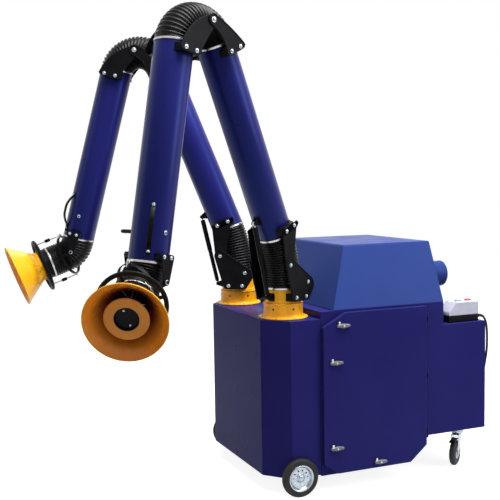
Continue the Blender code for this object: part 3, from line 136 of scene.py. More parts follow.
def oblong(left, right, low, high, radius, steps=5):
    # a rectangle with rounded corners
    return rounded([(left, low), (right, low), (right, high), (left, high)], radius, steps)


def around(steps):
    # points evenly spaced round a circle of radius 1
    angle = np.linspace(0, turnOnce, steps, endpoint=False)
    return np.stack([np.cos(angle), np.sin(angle)], -1)


def lathe(profile, steps=72):
    # a closed (radius, height) outline spun about Z
    profile = np.asarray(profile, float)
    cosine, sine = around(steps).T
    radius, height = profile[:, 0, None], profile[:, 1, None]
    return grid(np.stack([radius * cosine, radius * sine, height + 0 * cosine], -1), ring=True)


def inwardOf(outline):
    # the mitred inward step of each corner of a flat outline, for a depth of 1
    ahead = np.roll(outline, -1, 0) - outline
    ahead /= np.linalg.norm(ahead, axis=1, keepdims=True) + 1e-12
    behind = np.roll(ahead, 1, 0)
    area = np.sum(outline[:, 0] * np.roll(outline[:, 1], -1) - outline[:, 1] * np.roll(outline[:, 0], -1))
    both = ahead + behind
    normal = np.stack([-both[:, 1], both[:, 0]], -1) * np.sign(area)
    return normal / np.maximum(1 + np.sum(ahead * behind, 1, keepdims=True), 0.3)


def distinct(outline):
    return outline[np.linalg.norm(outline - np.roll(outline, 1, 0), axis=1) > 1e-7]


def drawn(outline, profile, capped=True, ring=False):
    # an outline carried up a (drawn in, height) profile, row by row
    outline = distinct(np.asarray(outline, float))
    profile = np.asarray(profile, float)
    flat = outline[None] + profile[:, 0, None, None] * inwardOf(outline)[None]
    height = np.broadcast_to(profile[:, 1, None, None], flat.shape[:2] + (1,))
    return grid(np.concatenate([flat, height], -1), capped, ring)


def slab(outline, low, high, edge=0.0012, steps=4):
    # a plate whose two rims are quarter circles; the outline's corners are rounder than the rims
    t = np.linspace(0, np.pi / 2, steps)
    rim = edge * np.stack([1 - np.sin(t), 1 - np.cos(t)], -1)
    return drawn(outline, np.concatenate([rim + (0, low), (rim * (1, -1))[::-1] + (0, high)]))


def block(low, high, edge=0.002):
    (a, b, c), (d, e, f) = low, high
    edge = min(edge, 0.3 * (d - a), 0.3 * (e - b), 0.45 * (f - c))
    return slab(oblong(a, d, b, e, edge * 1.5), c, f, edge)


def hull(discs, steps=24):
    # the outline round discs (x, y, radius), like a band stretched round pegs
    discs = np.asarray(discs, float)
    spots = (discs[:, None, :2] + discs[:, None, 2:] * around(steps)).reshape(-1, 2)
    look = np.linspace(0, turnOnce, 720, endpoint=False)
    reach = spots @ np.stack([np.cos(look), np.sin(look)])
    order = np.argmax(reach, axis=0)
    keep = order[np.insert(np.diff(order) != 0, 0, True)]
    return distinct(spots[keep])


def acrossOf(path, up):
    # two unit directions across a line at each point, the second as near to `up` as it can be
    ahead = np.gradient(path, axis=0)
    ahead /= np.linalg.norm(ahead, axis=1, keepdims=True)
    side = np.cross(ahead, up)
    side /= np.linalg.norm(side, axis=1, keepdims=True)
    return side, np.cross(side, ahead)


def outwardOf(path, sides, up=(0, 1, 0)):
    # unit steps away from each point of a line, all round it
    side, top = acrossOf(path, up)
    circle = around(sides)
    return circle[:, :1] * side[:, None] + circle[:, 1:] * top[:, None]


def tube(path, radius, sides=16):
    # circles across a line of points, with one radius for each point
    return grid(path[:, None] + radius[:, None, None] * outwardOf(path, sides), capped=True)


def rod(start, end, radius, sides=20, edge=None):
    # a round bar between two points, its two rims rounded
    start, end = np.asarray(start, float), np.asarray(end, float)
    length = np.linalg.norm(end - start)
    edge = min(radius, length / 2) * 0.3 if edge is None else edge
    profile = oblong(0, radius, 0, length, [0, edge, edge, 0], 4)
    ahead = (end - start) / length
    side = np.cross(ahead, (0.31, 0.77, 0.55))
    side /= np.linalg.norm(side)
    place = np.eye(4)
    place[:3, :3] = np.stack([side, np.cross(ahead, side), ahead], 1)
    place[:3, 3] = start
    return moved(place, lathe(profile, sides))


def bend(start, startWay, end, endWay, reach, steps):
    # a cubic curve between two ends and their directions
    start, end = np.asarray(start, float), np.asarray(end, float)
    first, second = start + np.asarray(startWay) * reach, end - np.asarray(endWay) * reach
    t = np.linspace(0, 1, steps + 1)[:, None]
    u = 1 - t
    return start * u ** 3 + first * 3 * u * u * t + second * 3 * u * t * t + end * t ** 3


def curved(points, steps):
    # a Catmull-Rom line through points, `steps` pieces between each pair
    points = np.asarray(points, float)
    ends = np.concatenate([[2 * points[0] - points[1]], points, [2 * points[-1] - points[-2]]])
    a, b, c, d = (ends[k:len(ends) - 3 + k, None] for k in range(4))
    t = np.linspace(0, 1, steps, endpoint=False)[None, :, None]
    line = (2 * b + (c - a) * t + (2 * a - 5 * b + 4 * c - d) * t ** 2 + (3 * b - a - 3 * c + d) * t ** 3) / 2
    return np.concatenate([line.reshape(-1, 3), points[-1:]])


def runOf(path):
    # the length of a line from its start to each of its points
    return np.concatenate([[0], np.cumsum(np.linalg.norm(np.diff(path, axis=0), axis=1))])


# Finishes

looks = {
    "bodyPaint": {"slot": "body_blue", "colour": (0.015, 0.014, 0.108), "light": (0.018, 0.018, 0.124),
                  "patch": 2.2, "roughness": (0.26, 0.34), "grain": 900, "depth": 0.03, "specular": 0.018},
    # the body's blue made lighter and greener for the fan hood and its outlet pipe: painted light, for the
    # light from above on the hood's slopes
    "hoodPaint": {"slot": "body_blue", "colour": (0.018, 0.036, 0.160), "light": (0.021, 0.042, 0.178),
                  "patch": 2.6, "roughness": (0.28, 0.38), "grain": 900, "depth": 0.04, "specular": 0.035},
    "tubePaint": {"slot": "tube_blue", "colour": (0.010, 0.009, 0.088), "light": (0.013, 0.012, 0.110),
                  "patch": 3.0, "roughness": (0.27, 0.33), "grain": 600, "depth": 0.02, "specular": 0.26,
                  "tint": (0.12, 0.32, 1.0)},
    "signalPaint": {"slot": "signal_orange", "colour": (0.90, 0.38, 0.004), "light": (0.96, 0.46, 0.006),
                    "patch": 8, "roughness": (0.24, 0.36), "grain": 500, "depth": 0.03, "specular": 0.35},
    # the hood's orange made redder and darker for its lining: painted shade inside the cone, and its dark
    # colour is a painted shadow deep in the throat
    "hoodInside": {"slot": "signal_orange", "colour": (1.00, 0.30, 0.018), "light": (1.00, 0.35, 0.022),
                   "paintedShade": (0.13, 0.020, 0.010), "patch": 9, "roughness": (0.18, 0.30), "grain": 400,
                   "depth": 0.03, "specular": 0.4},
    # the orange paint darkened for the baffle deep in the cone: painted shade
    "baffleShaded": {"slot": "signal_orange", "colour": (0.62, 0.21, 0.014), "light": (0.70, 0.26, 0.016),
                     "patch": 9, "roughness": (0.28, 0.42), "grain": 400, "depth": 0.04, "specular": 0.3},
    "blackSteel": {"slot": "black_steel", "colour": (0.0022, 0.0022, 0.0030),
                   "light": (0.0050, 0.0050, 0.0060), "patch": 20, "roughness": (0.30, 0.46), "grain": 700,
                   "depth": 0.08, "specular": 0.06},
    "hoseSkin": {"slot": "black_rubber", "colour": (0.003, 0.003, 0.004), "light": (0.006, 0.006, 0.007),
                 "patch": 30, "roughness": (0.24, 0.34), "grain": 300, "depth": 0.03, "specular": 0.12},
    "tyreRubber": {"slot": "black_rubber", "colour": (0.006, 0.006, 0.006), "light": (0.014, 0.013, 0.012),
                   "patch": 16, "roughness": (0.50, 0.70), "grain": 500, "depth": 0.15, "specular": 0.25},
    "cordSkin": {"slot": "black_rubber", "colour": (0.006, 0.006, 0.007), "light": (0.010, 0.010, 0.011),
                 "patch": 12, "roughness": (0.42, 0.55), "grain": 350, "depth": 0.06, "specular": 0.2},
    "brightZinc": {"slot": "bright_zinc", "colour": (0.26, 0.30, 0.35), "light": (0.40, 0.44, 0.49),
                   "patch": 60, "roughness": (0.18, 0.34), "grain": 900, "depth": 0.05, "metallic": 1.0},
    "clampSteel": {"slot": "bright_zinc", "colour": (0.38, 0.37, 0.35), "light": (0.56, 0.55, 0.52),
                   "patch": 90, "roughness": (0.22, 0.38), "grain": 1200, "depth": 0.05, "metallic": 1.0},
    "greyMoulding": {"slot": "grey_plastic", "colour": (0.10, 0.098, 0.125), "light": (0.14, 0.137, 0.17),
                     "patch": 40, "roughness": (0.30, 0.45), "grain": 800, "depth": 0.08, "specular": 0.4},
    "paleMoulding": {"slot": "white_cover", "colour": (0.40, 0.41, 0.51), "light": (0.47, 0.48, 0.58),
                     "patch": 20, "roughness": (0.32, 0.45), "grain": 700, "depth": 0.06, "specular": 0.3},
    "redMoulding": {"slot": "red_plastic", "colour": (0.50, 0.02, 0.02), "light": (0.62, 0.04, 0.035),
                    "patch": 30, "roughness": (0.28, 0.4), "grain": 500, "depth": 0.05, "specular": 0.4},
    "greenMoulding": {"slot": "green_plastic", "colour": (0.30, 0.48, 0.32), "light": (0.38, 0.56, 0.40),
                      "patch": 30, "roughness": (0.28, 0.4), "grain": 500, "depth": 0.05, "specular": 0.4},
    "filterPaper": {"slot": "filter_paper", "colour": (0.62, 0.60, 0.52), "light": (0.78, 0.76, 0.70),
                    "patch": 120, "roughness": (0.85, 0.95), "grain": 1500, "depth": 0.3, "specular": 0.2},
}
materials = {}


def noiseOf(tree, where, scale, detail):
    noise = tree.nodes.new("ShaderNodeTexNoise")
    noise.inputs["Scale"].default_value = scale
    noise.inputs["Detail"].default_value = detail
    tree.links.new(where, noise.inputs["Vector"])
    return noise.outputs["Fac"]


def ranged(tree, value, low, high, fromLow=0.3, fromHigh=0.7):
    node = tree.nodes.new("ShaderNodeMapRange")
    for name, number in (("From Min", fromLow), ("From Max", fromHigh), ("To Min", low), ("To Max", high)):
        node.inputs[name].default_value = number
    tree.links.new(value, node.inputs["Value"])
    return node.outputs["Result"]


def mixed(tree, factor, first, second):
    # a colour between two, each a socket or three numbers
    node = tree.nodes.new("ShaderNodeMix")
    node.data_type = "RGBA"
    tree.links.new(factor, node.inputs[0])
    for socket, colour in ((node.inputs[6], first), (node.inputs[7], second)):
        if isinstance(colour, tuple):
            socket.default_value = (*colour, 1)
        else:
            tree.links.new(colour, socket)
    return node.outputs[2]


def finish(name):
    # slow patches of tone and gloss and a fine grain in the surface;
    # a darker colour of painted shade fades in by the piece's attribute
    if name in materials:
        return materials[name]
    look = looks[name]
    made = bpy.data.materials.new(name)
    made.use_nodes = True
    tree = made.node_tree
    shader = tree.nodes["Principled BSDF"]
    where = tree.nodes.new("ShaderNodeTexCoord").outputs["Object"]
    patch = noiseOf(tree, where, look["patch"], 4)
    colour = mixed(tree, ranged(tree, patch, 0, 1), look["colour"], look["light"])
    # painted shade: the dark colour takes over where the attribute is 0
    if "paintedShade" in look:
        shadeFade = tree.nodes.new("ShaderNodeAttribute")
        shadeFade.attribute_name = "shadeFade"
        colour = mixed(tree, ranged(tree, shadeFade.outputs["Fac"], 0, 1, 0, 1), look["paintedShade"], colour)
    tree.links.new(colour, shader.inputs["Base Color"])
    tree.links.new(ranged(tree, noiseOf(tree, where, look["patch"] * 3, 5), *look["roughness"]),
                   shader.inputs["Roughness"])
    bump = tree.nodes.new("ShaderNodeBump")
    bump.inputs["Strength"].default_value = look["depth"]
    bump.inputs["Distance"].default_value = 0.001
    tree.links.new(noiseOf(tree, where, look["grain"], 2), bump.inputs["Height"])
    tree.links.new(bump.outputs["Normal"], shader.inputs["Normal"])
    shader.inputs["Metallic"].default_value = look.get("metallic", 0)
    shader.inputs["Specular IOR Level"].default_value = look.get("specular", 0.5)
    shader.inputs["Specular Tint"].default_value = (*look.get("tint", (1, 1, 1)), 1)
    materials[name] = made
    return made


def shade(mesh, sharp):
    # smooth over gentle edges, flat on caps and on large faces,
    # so that a rounded rim doesn't bend their light
    mesh.shade_smooth()
    mesh.set_sharp_from_angle(angle=np.radians(sharp))
    corners, areas = np.empty(len(mesh.polygons), int), np.empty(len(mesh.polygons))
    mesh.polygons.foreach_get("loop_total", corners)
    mesh.polygons.foreach_get("area", areas)
    mesh.polygons.foreach_set("use_smooth", (corners <= 4) & (areas < 0.02))


def meshOf(name, shell, place=whole):
    # a shell as a mesh: doubles merged, faces outwards
    points, faces = shell
    mesh = bpy.data.meshes.new(name)
    mesh.from_pydata(carry(place, points).tolist(), [], [face for group in faces for face in group.tolist()])
    shape = bmesh.new()
    shape.from_mesh(mesh)
    bmesh.ops.remove_doubles(shape, verts=shape.verts, dist=1e-6)
    bmesh.ops.recalc_face_normals(shape, faces=shape.faces)
    shape.to_mesh(mesh)
    shape.free()
    return mesh


def piece(name, shell, look, body, place=whole, replaces=(), sharp=35, shadeFade=None):
    # put a shell in the scene, in its finish and on its body;
    # the fade pair gives two heights in the piece's own frame; its attribute runs from 0 to 1 between them
    # and mixes in a painted shade
    mesh = meshOf(name, shell, place)
    mesh.materials.append(finish(look))
    shade(mesh, sharp)
    made = bpy.data.objects.new(name, mesh)
    scene.collection.objects.link(made)
    if shadeFade:
        spots = np.empty(len(mesh.vertices) * 3)
        mesh.vertices.foreach_get("co", spots)
        height = carry(np.linalg.inv(place), spots.reshape(-1, 3))[:, 2]
        share = np.clip((height - shadeFade[0]) / (shadeFade[1] - shadeFade[0]), 0, 1)
        mesh.attributes.new("shadeFade", "FLOAT", "POINT").data.foreach_set("value", share.astype(np.float32))
    if body:
        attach(made, body)
    if replaces:
        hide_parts(*([replaces] if isinstance(replaces, str) else replaces))
    return made


def pierced(made, *cutters):
    # cut closed shells out of a piece, keep the result as its mesh and mark its creases again
    for shell in cutters:
        tool = bpy.data.objects.new("cutter", meshOf("cutter", shell))
        scene.collection.objects.link(tool)
        cut = made.modifiers.new("cut", "BOOLEAN")
        cut.object = tool
        cut.solver = "EXACT"
        bpy.context.view_layer.update()
        result = bpy.data.meshes.new_from_object(made.evaluated_get(bpy.context.evaluated_depsgraph_get()))
        made.modifiers.clear()
        made.data = result
        bpy.data.objects.remove(tool)
    shade(made.data, 35)


# Camera, light and floor

view = {"place": (-1.598, -3.535, 1.4325), "yaw": -23.054, "pitch": -4.66, "roll": -0.878,
        "lens": 64.08, "shift": (-0.0002, 0.0028)}
lamps = {
    "overhead": {"place": (0.6, -0.9, 4.2), "aim": (0.4, 0.2, 0.9), "size": (3.0, 2.0), "power": 300},
    "leftStrip": {"place": (-3.9, 0.9, 1.9), "aim": (-0.3, 0.0, 1.2), "size": (0.7, 2.6), "power": 9},
    "rightStrip": {"place": (3.0, -2.6, 2.4), "aim": (0.2, 0.0, 1.2), "size": (1.4, 2.2), "power": 58},
    "backTop": {"place": (0.4, 3.0, 3.4), "aim": (0.0, 0.0, 0.8), "size": (2.4, 1.6), "power": 30},
}
sky = {"colour": (1.0, 1.0, 1.0), "fill": 0.26}


def placeCamera():
    yaw, pitch, roll = (np.radians(view[name]) for name in ("yaw", "pitch", "roll"))
    ahead = np.array((-np.sin(yaw) * np.cos(pitch), np.cos(yaw) * np.cos(pitch), np.sin(pitch)))
    right = np.array((np.cos(yaw), np.sin(yaw), 0))
    up = np.cross(right, ahead)
    tilted = np.cos(roll) * right + np.sin(roll) * up
    top = np.cos(roll) * up - np.sin(roll) * right
    matrix = np.eye(4)
    matrix[:3, :3] = np.stack([tilted, top, -ahead], 1)
    matrix[:3, 3] = carry(machine, view["place"])
    lens = bpy.data.cameras.new("camera")
    lens.lens = view["lens"]
    lens.sensor_width = 36
    lens.sensor_fit = "HORIZONTAL"
    lens.shift_x, lens.shift_y = view["shift"]
    camera = bpy.data.objects.new("camera", lens)
    scene.collection.objects.link(camera)
    camera.matrix_world = Matrix(matrix.tolist())
    scene.camera = camera


def placeLamps():
    for name, lamp in lamps.items():
        light = bpy.data.lights.new(name, "AREA")
        light.shape = "RECTANGLE"
        light.size, light.size_y = lamp["size"]
        light.energy = lamp["power"]
        made = bpy.data.objects.new(name, light)
        scene.collection.objects.link(made)
        aim = Vector(lamp["place"]) - Vector(lamp["aim"])
        made.location = lamp["place"]
        made.rotation_euler = aim.to_track_quat("Z", "Y").to_euler()


def whiteWhere(tree, shown, lit):
    # the first strength for camera, glossy and transmission rays,
    # the second for the light that falls on things
    path = tree.nodes.new("ShaderNodeLightPath")
    total = path.outputs["Is Camera Ray"]
    for name in ("Is Glossy Ray", "Is Transmission Ray"):
        add = tree.nodes.new("ShaderNodeMath")
        add.operation = "ADD"
        add.use_clamp = True
        tree.links.new(total, add.inputs[0])
        tree.links.new(path.outputs[name], add.inputs[1])
        total = add.outputs[0]
    mix = tree.nodes.new("ShaderNodeMix")
    mix.inputs[2].default_value, mix.inputs[3].default_value = lit, shown
    tree.links.new(total, mix.inputs[0])
    return mix.outputs[0]


def placeSky():
    world = bpy.data.worlds.new("sky")
    scene.world = world
    world.use_nodes = True
    ground = world.node_tree.nodes["Background"]
    ground.inputs["Color"].default_value = (*sky["colour"], 1)
    world.node_tree.links.new(whiteWhere(world.node_tree, 1.0, sky["fill"]), ground.inputs["Strength"])


def placeFloor():
    # a white floor that keeps the soft shadow: mostly its own glow, with some plain paint in it
    reach = 40.0
    mesh = bpy.data.meshes.new("floor")
    corners = [(x * reach, y * reach, -0.0005) for x, y in ((-1, -1), (1, -1), (1, 1), (-1, 1))]
    mesh.from_pydata(corners, [], [(0, 1, 2, 3)])
    floor = bpy.data.objects.new("floor", mesh)
    scene.collection.objects.link(floor)
    made = bpy.data.materials.new("floorPaint")
    made.use_nodes = True
    tree = made.node_tree
    shader = tree.nodes["Principled BSDF"]
    shader.inputs["Base Color"].default_value = (0.45, 0.45, 0.45, 1)
    shader.inputs["Roughness"].default_value = 1.0
    shader.inputs["Specular IOR Level"].default_value = 0.0
    shader.inputs["Emission Color"].default_value = (1, 1, 1, 1)
    tree.links.new(whiteWhere(tree, 0.885, 0.0), shader.inputs["Emission Strength"])
    mesh.materials.append(made)


scene.view_settings.view_transform = "Standard"
placeCamera()
placeLamps()
placeSky()
placeFloor()
print("camera, light and floor ready")


# Mains lead: it leaves the switch's gland, drops behind the machine and ends in a coil and plug on the floor

lead = {"radius": 0.0055, "length": 4.66, "relief": 0.034, "gland": (1.1523, 0.0605, 0.7389),
        "places": ((1.175, 0.0600, 0.7375), (1.192, 0.057, 0.727), (1.204, 0.052, 0.690),
                   (1.206, 0.048, 0.620), (1.204, 0.052, 0.540), (1.196, 0.075, 0.420),
                   (1.192, 0.130, 0.290), (1.194, 0.220, 0.165),
                   (1.197, 0.330, 0.095), (1.203, 0.440, 0.045), (1.220, 0.510, 0.017),
                   (1.250, 0.542, 0.0065))}
coil = {"middle": (1.290, 0.640), "inner": 0.044, "pitch": 0.0116, "turns": 4, "steps": 24, "loose": 0.5,
        "rise": 0.31}
plug = {"radius": 0.026, "length": 0.120, "off": 0.022}


def coilLine():
    # a flat spiral inwards, a climb of one pitch, and a flat spiral outwards on top of it
    down = np.arange(coil["turns"] * coil["steps"] + 1) / coil["steps"]
    up = np.arange(1, (coil["turns"] + coil["loose"]) * coil["steps"] + 1) / coil["steps"]
    turns = np.concatenate([down, up])
    outer = coil["inner"] + coil["pitch"] * coil["turns"]
    widening = coil["pitch"] * np.maximum(up - coil["rise"], 0)
    radius = np.concatenate([outer - coil["pitch"] * down, coil["inner"] + widening])
    climb = np.concatenate([0 * down, np.minimum(up / coil["rise"], 1)])
    angle = turnOnce * turns - np.pi / 2
    return np.stack([coil["middle"][0] + radius * np.cos(angle), coil["middle"][1] + radius * np.sin(angle),
                     lead["radius"] * 1.05 + coil["pitch"] * climb], -1)


def mainsLead():
    turns = coilLine()
    last = turns[-1]
    tip = np.array((coil["middle"][0] - plug["off"] + gap * 2, last[1], plug["radius"] * 1.05))
    join = turns[0] - (gap * 2, 0, 0)
    route = np.concatenate([curved([lead["gland"], *lead["places"], join], 3), turns,
                            bend(last, (-1, 0, 0), tip, (-1, 0, 0), 0.006, 3)[1:]])
    route[:, 2] = np.maximum(route[:, 2], lead["radius"] * 1.05)
    route = carry(machine, route)
    line = bpy.data.curves.new("mains_lead", "CURVE")
    line.dimensions = "3D"
    spline = line.splines.new("POLY")
    spline.points.add(len(route) - 1)
    spline.points.foreach_set("co", np.concatenate([route, np.ones((len(route), 1))], 1).ravel())
    line.bevel_depth = lead["radius"]
    line.bevel_resolution = 4
    line.materials.append(finish("cordSkin"))
    made = bpy.data.objects.new("mains_lead", line)
    scene.collection.objects.link(made)
    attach(made, "machine")
    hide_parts("mains_cord", "mains_coil")
    along = curved([lead["gland"], *lead["places"][:4]], 24)
    sleeve = carry(machine, along[runOf(along) < lead["relief"]])
    t = np.linspace(0, 1, len(sleeve))
    taper = 0.0088 - 0.0026 * t + 0.0005 * np.cos(t * 44)
    body = [piece("strain_relief", tube(sleeve, taper, 28), "cordSkin", "machine"), *mainsPlug(tip)]
    print("mains lead of", round(float(runOf(route)[-1]), 3), "m")


def mainsPlug(tip):
    # a round red housing with a ribbed grip, a dark skirt and five pins, lying with its cable end at the tip
    radius, length = plug["radius"], plug["length"]
    place = machine @ shift(*tip) @ turn("Z", 180) @ turn("Y", 90)
    along = np.linspace(0, 1, 90)
    taper = np.interp(along, (0, 0.10, 0.55, 0.62, 1), (0.32, 0.62, 0.86, 0.86, 0.86)) * radius
    ribs = np.where((along > 0.14) & (along < 0.5), 0.0006 * np.cos(along * 150), 0)
    outer = np.stack([taper + ribs, along * length * 0.62], -1)
    grip = np.concatenate([[(0, 0)], outer, [(0, length * 0.62)]])
    angle = np.pi * np.arange(5) / 2.5 + 0.3
    spots = 0.5 * radius * np.stack([np.cos(angle), np.sin(angle)], -1)
    skirt = [(0, length * 0.6), (radius * 0.99, length * 0.6), (radius * 0.99, length * 0.98),
             (radius * 0.82, length), (radius * 0.82, length * 0.7), (0, length * 0.7)]
    pins = [rod((*spot, length * 0.65), (*spot, length * 0.97), 0.0028) for spot in spots]
    return [piece("plug_grip", lathe(grip, 48), "cordSkin", "machine", place, "mains_plug"),
            piece("plug_skirt", lathe(rounded(skirt, 0.002), 48), "redMoulding", "machine", place),
            piece("plug_pins", together(*pins), "brightZinc", "machine", place)]


mainsLead()
print("mains lead ready")


# The arms' frames, each at its joint

arm = {"along": 0.130, "across": {"near": 0.147, "far": 0.686}, "top": 0.797, "tube": 0.080, "bore": 0.0765,
       "lower": 0.880, "upper": {"near": 0.862, "far": 0.880}, "rise": 0.2505, "pivot": 0.0745,
       "elbow": 0.0963, "end": 0.119, "heading": {"near": 205.35, "far": 149.2},
       "lean": {"near": 24.6, "far": 21.9},
       "drop": {"near": 11.0, "far": 15.0}, "tilt": {"near": 55.0, "far": 52.0},
       "swing": {"near": 36.0, "far": 27.0}, "gimbalDrop": 0.075, "gimbalBack": 0.010, "gimbalReach": 0.056}


def armFrames(side):
    lean = arm["lean"][side]
    low = -arm["end"] - arm["upper"][side]
    seat = machine @ shift(arm["along"], arm["across"][side], arm["top"]) @ turn("Z", arm["heading"][side])
    shoulder = seat @ shift(arm["pivot"], 0, arm["rise"]) @ turn("Y", lean)
    elbow = shoulder @ shift(0, 0, 2 * arm["end"] + arm["lower"]) @ turn("Y", -lean - arm["drop"][side])
    toTilt = shift(arm["elbow"] - arm["gimbalBack"], 0, low - arm["gimbalDrop"])
    tilt = elbow @ toTilt @ turn("Y", -arm["tilt"][side])
    swing = tilt @ shift(0, 0, -arm["gimbalReach"]) @ turn("X", arm["swing"][side])
    return {"seat": seat, "shoulder": shoulder, "elbow": elbow, "tilt": tilt, "swing": swing, "low": low,
            "lowerTube": shoulder @ shift(-arm["pivot"], 0, 0),
            "upperTube": elbow @ shift(arm["elbow"], 0, 0)}


frames = {side: armFrames(side) for side in ("near", "far")}


# Small fasteners

def domeBolt(radius, height=None):
    # a washer, a hexagon and a domed cap, standing on z = 0
    height = radius * 1.1 if height is None else height
    washer = lathe(oblong(0, radius * 1.45, 0, radius * 0.22, 0.0004, 3), 20)
    nut = slab(around(6) * radius * 1.1, radius * 0.2, height * 0.62, radius * 0.08, 2)
    t = np.linspace(0, np.pi / 2, 7)
    dome = np.stack([radius * 0.86 * np.cos(t), height * (0.55 + 0.45 * np.sin(t))], -1)
    cap = np.concatenate([[(0, height * 0.3), (radius * 0.86, height * 0.3)], dome])
    return together(washer, nut, lathe(cap, 20))


def bolts(name, body, frameHere, spots, radius=0.006, look="brightZinc"):
    # one bolt for each (x, y, z, degrees about X, degrees about Y) in the frame given
    places = [shift(*spot[:3]) @ turn("Y", spot[4]) @ turn("X", spot[3]) for spot in spots]
    return piece(name, repeated(domeBolt(radius), places), look, body, frameHere)


def faceBolts(points, outward):
    # bolts on both side plates: on +Y and on -Y, standing off the face at `outward`
    return ([(x, outward, z, -90, 0) for x, z in points] + [(x, -outward, z, 90, 0) for x, z in points])


# Hoses

hose = {"root": 0.0768, "crest": 0.0822, "bore": 0.0735, "pitch": 0.0128, "hoodPitch": 0.0125, "cuff": 0.010,
        "cuffRadius": 0.0806, "strap": (0.001, 0.0095), "sides": 84, "perRib": 12}


def hoseShell(path, pitch, cuffs=(True, True), fromEnd=False):
    # the radius waves with a cosine along the line, one turn of the wave for each turn of the wire round it;
    # a cuffed end is plain for a short way
    lengths = runOf(path)
    total = lengths[-1]
    along = np.linspace(0, total, int(total / pitch * hose["perRib"]))
    line = np.stack([np.interp(along, lengths, path[:, k]) for k in range(3)], -1)
    angle = np.linspace(0, turnOnce, hose["sides"], endpoint=False)
    phase = along - total if fromEnd else along
    wave = 0.5 + 0.5 * np.cos(turnOnce * phase[:, None] / pitch - angle)
    ribs = hose["root"] + (hose["crest"] - hose["root"]) * wave ** 0.7
    clear = np.minimum(along if cuffs[0] else total, total - along if cuffs[1] else total)[:, None]
    blend = np.clip((clear - hose["cuff"]) / 0.004, 0, 1)
    outer = hose["cuffRadius"] * (1 - blend) + ribs * blend
    ring = outwardOf(line, hose["sides"])
    inner = line[::-8, None] + hose["bore"] * ring[::-8]
    return grid(np.concatenate([line[:, None] + outer[..., None] * ring, inner]), ring=True)


def clamp(radius, low, high, thick=0.0016):
    # a steel strap with a raised screw housing on it
    strap = lathe(oblong(radius, radius + thick, low, high, 0.0004, 3), 96)
    middle, half = (low + high) / 2, (high - low) / 2
    housing = block((radius + thick / 2, -0.012, middle - half), (radius + thick * 3.2, 0.012, middle + half),
                    0.0015)
    screw = rod((radius + thick * 2.4, -0.016, middle), (radius + thick * 2.4, 0.014, middle), 0.0026, 12)
    return together(strap, housing, screw)


def shoulderAndElbowHoses(side):
    at, lean, drop = frames[side], arm["lean"][side], arm["drop"][side]
    tubeEnd = arm["end"] + arm["lower"]
    up = np.array((0, 0, 1.0))
    leaning = turn("Y", lean)[:3, :3]
    top = np.array((arm["pivot"], 0, arm["rise"])) + leaning @ (-arm["pivot"], 0, arm["end"] - gap)
    low = hoseShell(bend((0, 0, 0.132 + gap), up, top, leaning @ up, 0.090, 240), hose["pitch"])
    made = piece(side + "_shoulder_bellows", low, "hoseSkin", None, at["seat"], side + "_shoulder_hose", 60)
    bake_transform(made)
    folding = turn("Y", -lean - drop)[:3, :3]
    pivot = np.array((0, 0, 2 * arm["end"] + arm["lower"]))
    farEnd = pivot + folding @ (arm["elbow"], 0, gap - arm["end"])
    high = hoseShell(bend((-arm["pivot"], 0, tubeEnd + gap), up, farEnd, folding @ -up, 0.122, 320),
                     hose["pitch"])
    made = piece(side + "_elbow_bellows", high, "hoseSkin", None, at["shoulder"], side + "_elbow_hose", 60)
    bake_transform(made)
    strap = clamp(hose["cuffRadius"], *hose["strap"])
    for name, body, place in (
            ("shoulder_foot", "_base", at["seat"] @ shift(0, 0, 0.132)),
            ("shoulder_head", "_lower", at["lowerTube"] @ shift(0, 0, arm["end"]) @ turn("X", 180)),
            ("elbow_foot", "_lower", at["lowerTube"] @ shift(0, 0, tubeEnd)),
            ("elbow_head", "_upper", at["upperTube"] @ shift(0, 0, -arm["end"]))):
        piece(side + "_" + name + "_clamp", strap, "clampSteel", side + body, place @ turn("Z", 200))


def hoodHose(side):
    at, tilt, swing = frames[side], arm["tilt"][side], arm["swing"][side]
    low = at["low"]
    tilting = turn("Y", -tilt)
    swinging = tilting @ turn("X", swing)
    pivot = np.array((arm["elbow"] - arm["gimbalBack"], 0, low - arm["gimbalDrop"]))
    hoop = pivot + way(tilting, (0, 0, -arm["gimbalReach"]))
    down = np.array((0, 0, -1.0))
    through = way(tilting, down) * 1.5 + way(swinging, down)
    through /= np.linalg.norm(through)
    start, end = np.array((arm["elbow"], 0, low - gap)), hoop + way(swinging, (0, 0, gap - hub["top"]))
    parts = (("upper", bend(start, down, hoop, through, 0.040, 120), "_upper", "_gimbal", (0.25, 0.85)),
             ("lower", bend(hoop, through, end, way(swinging, down), 0.040, 120), "_gimbal", "_hood",
              (0.1, 0.8)))
    for name, path, first, second, share in parts:
        upper = name == "upper"
        skin = hoseShell(path, hose["hoodPitch"], (upper, not upper), upper)
        made = piece(side + "_hood_bellows_" + name, skin, "hoseSkin", None, at["elbow"],
                     side + "_hood_hose", 60)
        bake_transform(made)
    strap = clamp(hose["cuffRadius"], *hose["strap"])
    piece(side + "_hood_hose_clamp", strap, "clampSteel", side + "_upper",
          at["upperTube"] @ shift(0, 0, low) @ turn("X", 180) @ turn("Z", 130))
    piece(side + "_hub_clamp", strap, "clampSteel", side + "_hood",
          at["swing"] @ shift(0, 0, -hub["top"]) @ turn("Z", 60))


# Tubes, flanges and collars

